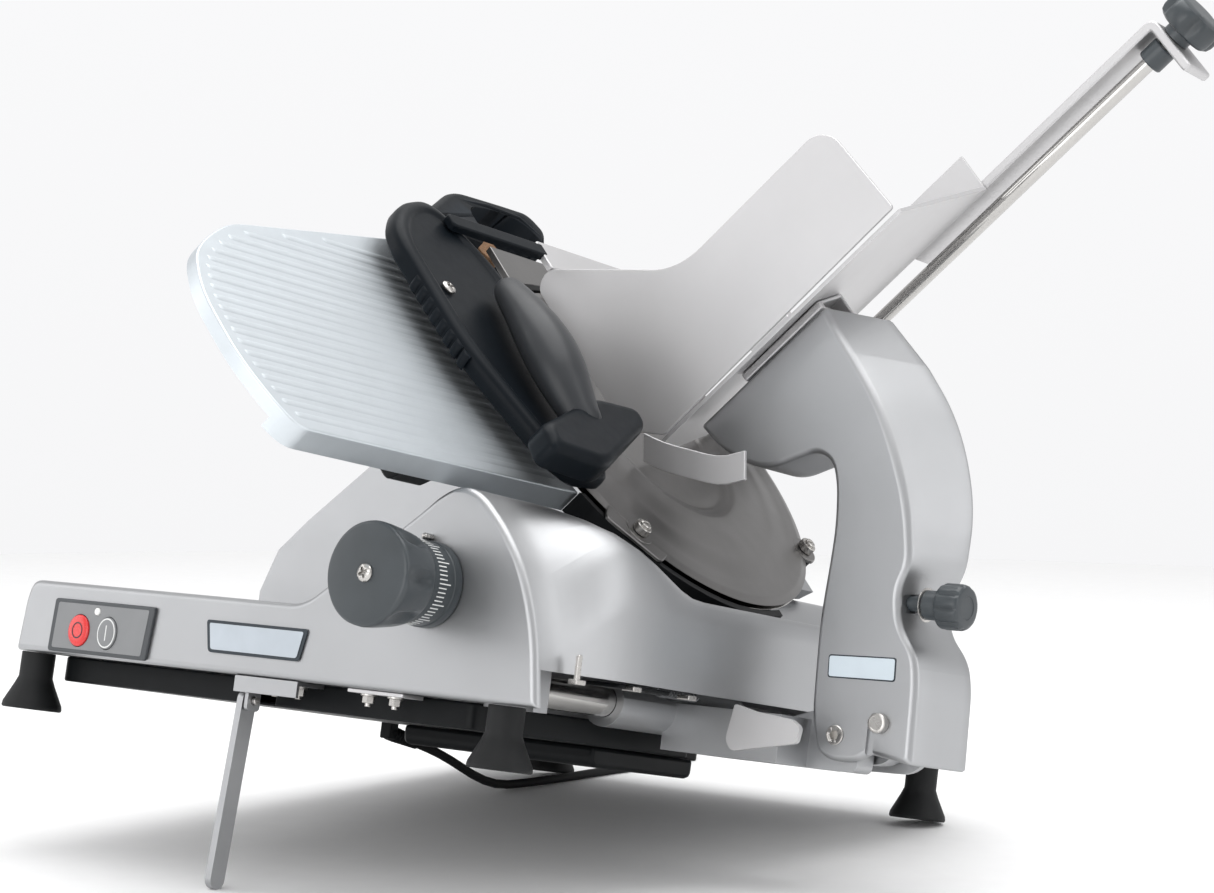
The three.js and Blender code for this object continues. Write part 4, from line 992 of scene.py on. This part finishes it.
GRIP_CORNERS = [(-243, 30, 30), (-208, -72, 10), (-188, -88, 8), (-148, -84, 8), (-134, 20, 40),
                (-124, 132, 30), (-168, 206, 20), (-214, 190, 22), (-247, 150, 24)]
grip_levels = [(9.5, 3), (10.2, 1.2), (12, 0), (18, 0), (22, 0.6), (24.6, 2.4), (26.2, 5.2), (27, 9),
               (26.6, 11.5), (25.4, 13.2), (24.8, 15.5)]
show("grip_plate_look", stacked(GRIP_CORNERS, grip_levels, 8), KNIFE, "grip", "grip_plastic",
     ["grip_plate"])

TOOTH_COUNT = 8
tooth_start, tooth_end = Vector((-244.8, 104)), Vector((-241.2, 16))
tooth_run = tooth_end - tooth_start
tooth_out = Vector((tooth_run.y, -tooth_run.x)).normalized()
tooth_shapes = []
for i in range(TOOTH_COUNT):
    centre = tooth_start + tooth_run * ((i + 0.5) / TOOTH_COUNT)
    half = tooth_run.normalized() * (0.40 * tooth_run.length / TOOTH_COUNT)
    lean = tooth_run.normalized() * 2.2
    rings = []
    for height, share in ((10.4, 0.75), (11.2, 1.0), (17.5, 1.0), (20.4, 0.55), (21.6, 0.05)):
        ring = []
        for k in range(9):
            angle = math.pi * k / 8
            point = (centre + half * math.cos(angle) + tooth_out * (3.0 * share * math.sin(angle) - 0.2)
                     - lean * (height - 10.4) / 11)
            ring.append((point.x, point.y, height))
        inner = centre - tooth_out * 4
        ring.append((inner.x, inner.y, height))
        rings.append(ring)
    tooth_shapes.append(loft(rings))
show("grip_teeth", merged(*tooth_shapes), KNIFE, "grip", "grip_plastic")

# Sections of the handle across its length: (y, centre x, centre z, half width, half depth).
HANDLE_SECTIONS = [(103, -160.5, 39, 3, 3), (101, -161, 39.4, 8, 7), (96, -162, 40, 12.5, 10.5),
                   (88, -164, 41, 15, 12.5), (74, -167, 43.5, 16.8, 14.6), (56, -170.5, 46.5, 19.4, 17),
                   (36, -174, 48.5, 22.2, 19.6), (14, -177, 49.5, 23.6, 21), (-8, -178.5, 48.5, 22.6, 20),
                   (-26, -178, 46, 19.6, 17), (-42, -175.5, 43, 16.6, 14), (-56, -172, 41, 15.4, 12.6)]
handle_rings = []
for y, x, z, wide, deep in HANDLE_SECTIONS:
    handle_rings.append([(x + wide * math.cos(a), y - 0.12 * wide * math.cos(a), z + deep * math.sin(a))
                         for a in [math.tau * k / 24 for k in range(24)]])
show("handle_look", loft(handle_rings), KNIFE, "grip", "handle_plastic", ["grip_handle"], smooth=2,
     angle=180)
guard_corners = [(-252, -96, 8), (-190, -102, 12), (-97, -42, 12), (-98, -23, 10), (-152, -24, 10),
                 (-246, -70, 10)]
guard_levels = [(27.3, 2.5), (28.4, 0.8), (31, 0), (44, 0), (47.5, 1.0), (50.2, 3.2), (51.6, 6), (52, 9)]
show("guard_look", stacked(guard_corners, guard_levels, 8), KNIFE, "grip", "handle_plastic",
     ["grip_guard"], finish=FINISHES["grip_plastic"])
cross_screw("grip_screw", (-222, 92, 26.4), 6.2, 2.6, 1.7, KNIFE, "grip")


# ---- arm hardware ----

label_rim = [(599.6, 98, 2.5), (658.4, 99.2, 2.5), (657.6, 117, 2.5), (598.6, 115.2, 2.5)]
label_face = [(600.6, 99, 2), (657.4, 100.2, 2), (656.6, 116, 2), (599.6, 114.2, 2)]
show("label_rim", slab(label_rim, -230.2, -229.5, top=0.2), FRONT, "arm", "cast_aluminium",
     finish=DARK_INK)
show("label_face_plate", slab(label_face, -230.0, -229.3, top=0.15), FRONT, "arm", "cast_aluminium",
     finish=LABEL_FACE)

PIVOT_PLACE = quarter_turned(ARM_PIVOT[0], ARM_FRONT, ARM_PIVOT[1], "X")
LATCH_PLACE = quarter_turned(LATCH[0], ARM_FRONT, LATCH[1], "X")
latch_profile = [(0, -8), (3.8, -8), (3.8, 0), (7.4, 0.3), (7.5, 0.9), (7.5, 5.6), (6.9, 6.4), (5.6, 6.6),
                 (5.2, 6.3), (0, 6.3)]
show("latch_look", lathe(latch_profile, 40), LATCH_PLACE, "latch_pin", "screw_steel",
     ["latch_pin"])
pivot_profile = [(0, -55), (5, -55), (5, 0.1), (7.4, 0.15), (7.4, 1.0), (6.8, 1.6), (0, 1.6)]
pivot = show("pivot_look", lathe(pivot_profile, 40), PIVOT_PLACE, "carriage", "screw_steel",
             ["arm_pivot_pin"])
hex_recess = rod(0, 0, 3.9, -3.5, 6, 6)
carve(pivot, hex_recess, place=PIVOT_PLACE)


RELEASE_PLACE = quarter_turned(*RELEASE, "Y")
release_collar = lathe([(0, -19), (5.8, -19), (5.8, 0.8), (10.4, 1.2), (11, 2), (11, 13.4), (10.4, 14.4),
                        (0, 14.4)], 40)
release_head = fluted([(12, 14.6, 0), (15.4, 15.0, 0.2), (16.6, 16.2, 1.0), (17.2, 18, 1.6),
                       (17.3, 26, 1.9), (17.1, 31, 1.7), (16.4, 33.4, 1.0), (15.2, 34.8, 0.2),
                       (13.4, 35.4, 0), (9, 35.5, 0), (8.6, 35.0, 0), (3, 35.0, 0)], 9)
show("release_look", merged(release_collar, release_head), RELEASE_PLACE, "release_knob", "knob_plastic",
     ["release_knob"])
show("release_washer", lathe([(7, 0.3), (12.4, 0.3), (12.8, 0.7), (12.8, 1.2), (12.2, 1.6), (7, 1.6),
                              (7, 0.3)], 40), RELEASE_PLACE, "release_knob", "screw_steel")


# ---- rod end ----

GRIP_ROD_AT = (178, 43)
rod_place = KNIFE @ Matrix.Translation((*GRIP_ROD_AT, 0))
show("end_knob_look", merged(shaft(12, 492.6, 500.4, 32),
                             fluted([(18, 499.6, 0), (22, 500.2, 0.6), (24.6, 502, 2.2), (26, 506, 4),
                                     (26.3, 512, 4.6), (25.6, 517, 4.2), (23.6, 520.4, 2.8),
                                     (20, 522, 1), (14, 522.4, 0), (8, 522, 0)], 5, 14)),
     rod_place, "end_knob", "knob_plastic", ["end_knob"])
collar_profile = [(7, 464), (10.2, 464), (11, 465), (11, 481), (10.2, 482), (7, 482), (7, 464)]
show("collar_look", lathe(collar_profile, 40), rod_place, BODY_OF["rod_collar"], "knob_plastic",
     ["rod_collar"])


# ---- sharpener hood ----

HOOD = [(-150, 216, 10), (12, 212, 4), (41, 252, 8), (30, 274, 12), (-16, 273, 20), (-74, 270, 18)]
hood = show("hood_look", prism(rounded(HOOD, 8), -44, 1, top=6, bottom=3), KNIFE,
            BODY_OF["sharpener_housing"], "black_plastic", ["sharpener_housing"],
            finish=FINISHES["grip_plastic"])
carve(hood, prism(rounded([(-66, 196, 2), (24, 196, 2), (22, 240, 8), (6, 257, 12), (-30, 259, 14),
                           (-66, 252, 12)], 8), -37, 9), place=KNIFE)
lip = [(-66, 259), (-34, 262), (8, 260), (26, 245)]
lip_path = [(x, y, z) for (x, y), z in zip(lip, (-1, 0.4, 0.4, -1))]
show("hood_lip", tube(lip_path, 2.2, 12), KNIFE, BODY_OF["sharpener_housing"], "black_plastic",
     finish=FINISHES["grip_plastic"])


# ---- grip arm ----

tie = slab([(-172, 167, 5), (-52, 167, 3), (-52, 181, 3), (-172, 181, 5)], 27.5, 34, top=2)
show("grip_tie", tie, KNIFE, "grip", "grip_plastic")
bridge = slab([(-58, 152, 4), (20, 160, 20), (231, 164, 3), (231, 184, 3), (-58, 184, 4)], 27.6, 33.6,
              top=1.2, bottom=1.2)
drop = slab([(219, 35, 3), (231, 35, 6), (231, 183, 3), (219, 183, 3)], 27.6, 74, top=1)
tongue = block(189, 35, 221, 51, 0, 62.4, 74, top=0.8)
show("grip_arm_look", merged(bridge, drop, tongue), KNIFE, "grip", "cast_aluminium", ["grip_arm"],
     finish=FINISHES["sheet_aluminium"])
show("grip_hub", moved(ring_shape(circle(0, 0, 12, 40), circle(0, 0, 6.6, 40), 62.4, 74.4),
                       shift(*GRIP_ROD_AT, 0)), KNIFE, "grip", "cast_aluminium")


# ---- bolts and underside details ----

def hex_bolt(x, y, low, high, radius=4.6):
    """Hexagon head under a washer, hanging from z = high."""
    head = rod(x, y, radius, low, high - 1.4, 6, top=0.4, bottom=0.9)
    washer = rod(x, y, radius + 1.6, high - 1.4, high, 28, bottom=0.3)
    tip = rod(x, y, radius * 0.5, low - 2.4, low + 0.5, 16, bottom=0.5)
    return merged(head, washer, tip)


show("bracket_bolts", merged(hex_bolt(262, 0, 35.4, 42.4), hex_bolt(286, 0, 35.4, 42.4)), MACHINE,
     "base", "screw_steel")
show("clip_plate", block(346, -14, 400, 10, 1.5, 42.8, 45.6, top=0.5, bottom=0.5), MACHINE, "base",
     "sheet_aluminium")
show("clip_bolts", merged(hex_bolt(360, -5, 36, 42.8), hex_bolt(386, -5, 36, 42.8)), MACHINE, "base",
     "screw_steel")
side_clip = merged(slab([(4, 68, 1), (8.6, 68, 1), (8.6, 87, 2.2), (4, 87, 2.2)], 538.6, 541, top=0.6),
                   block(4, 66, 15, 69.6, 1, 534, 541.4, top=0.6))
wall_nuts = [block(y, 67.4, y + 10, 71, 1, 530, 540.6, top=0.6) for y in (72, 140)]
show("side_clips", merged(side_clip, *wall_nuts), SIDE, "base", "screw_steel")
SPRING_TURNS = 13
spring_path = []
for i in range(SPRING_TURNS * 14 + 1):
    a = math.tau * i / 14
    spring_path.append((521 + 3.2 * math.cos(a), 128 + 3.6 * i / 14, 71 + 3.2 * math.sin(a)))
show("return_spring", tube(spring_path, 0.75, 6), MACHINE, "base", "screw_steel",
     finish=FINISHES["motor_iron"])
show("spring_plate", block(500, 66, 534, 128, 5, 68.6, 71.6, top=0.8, bottom=0.8), MACHINE, "base",
     "black_plastic")


# ---- remaining CAD nodes ----

for node in [n for n in frame["nodes"] if n not in REPLACED]:
    refined(node, BEVELS.get(node, 0.7))
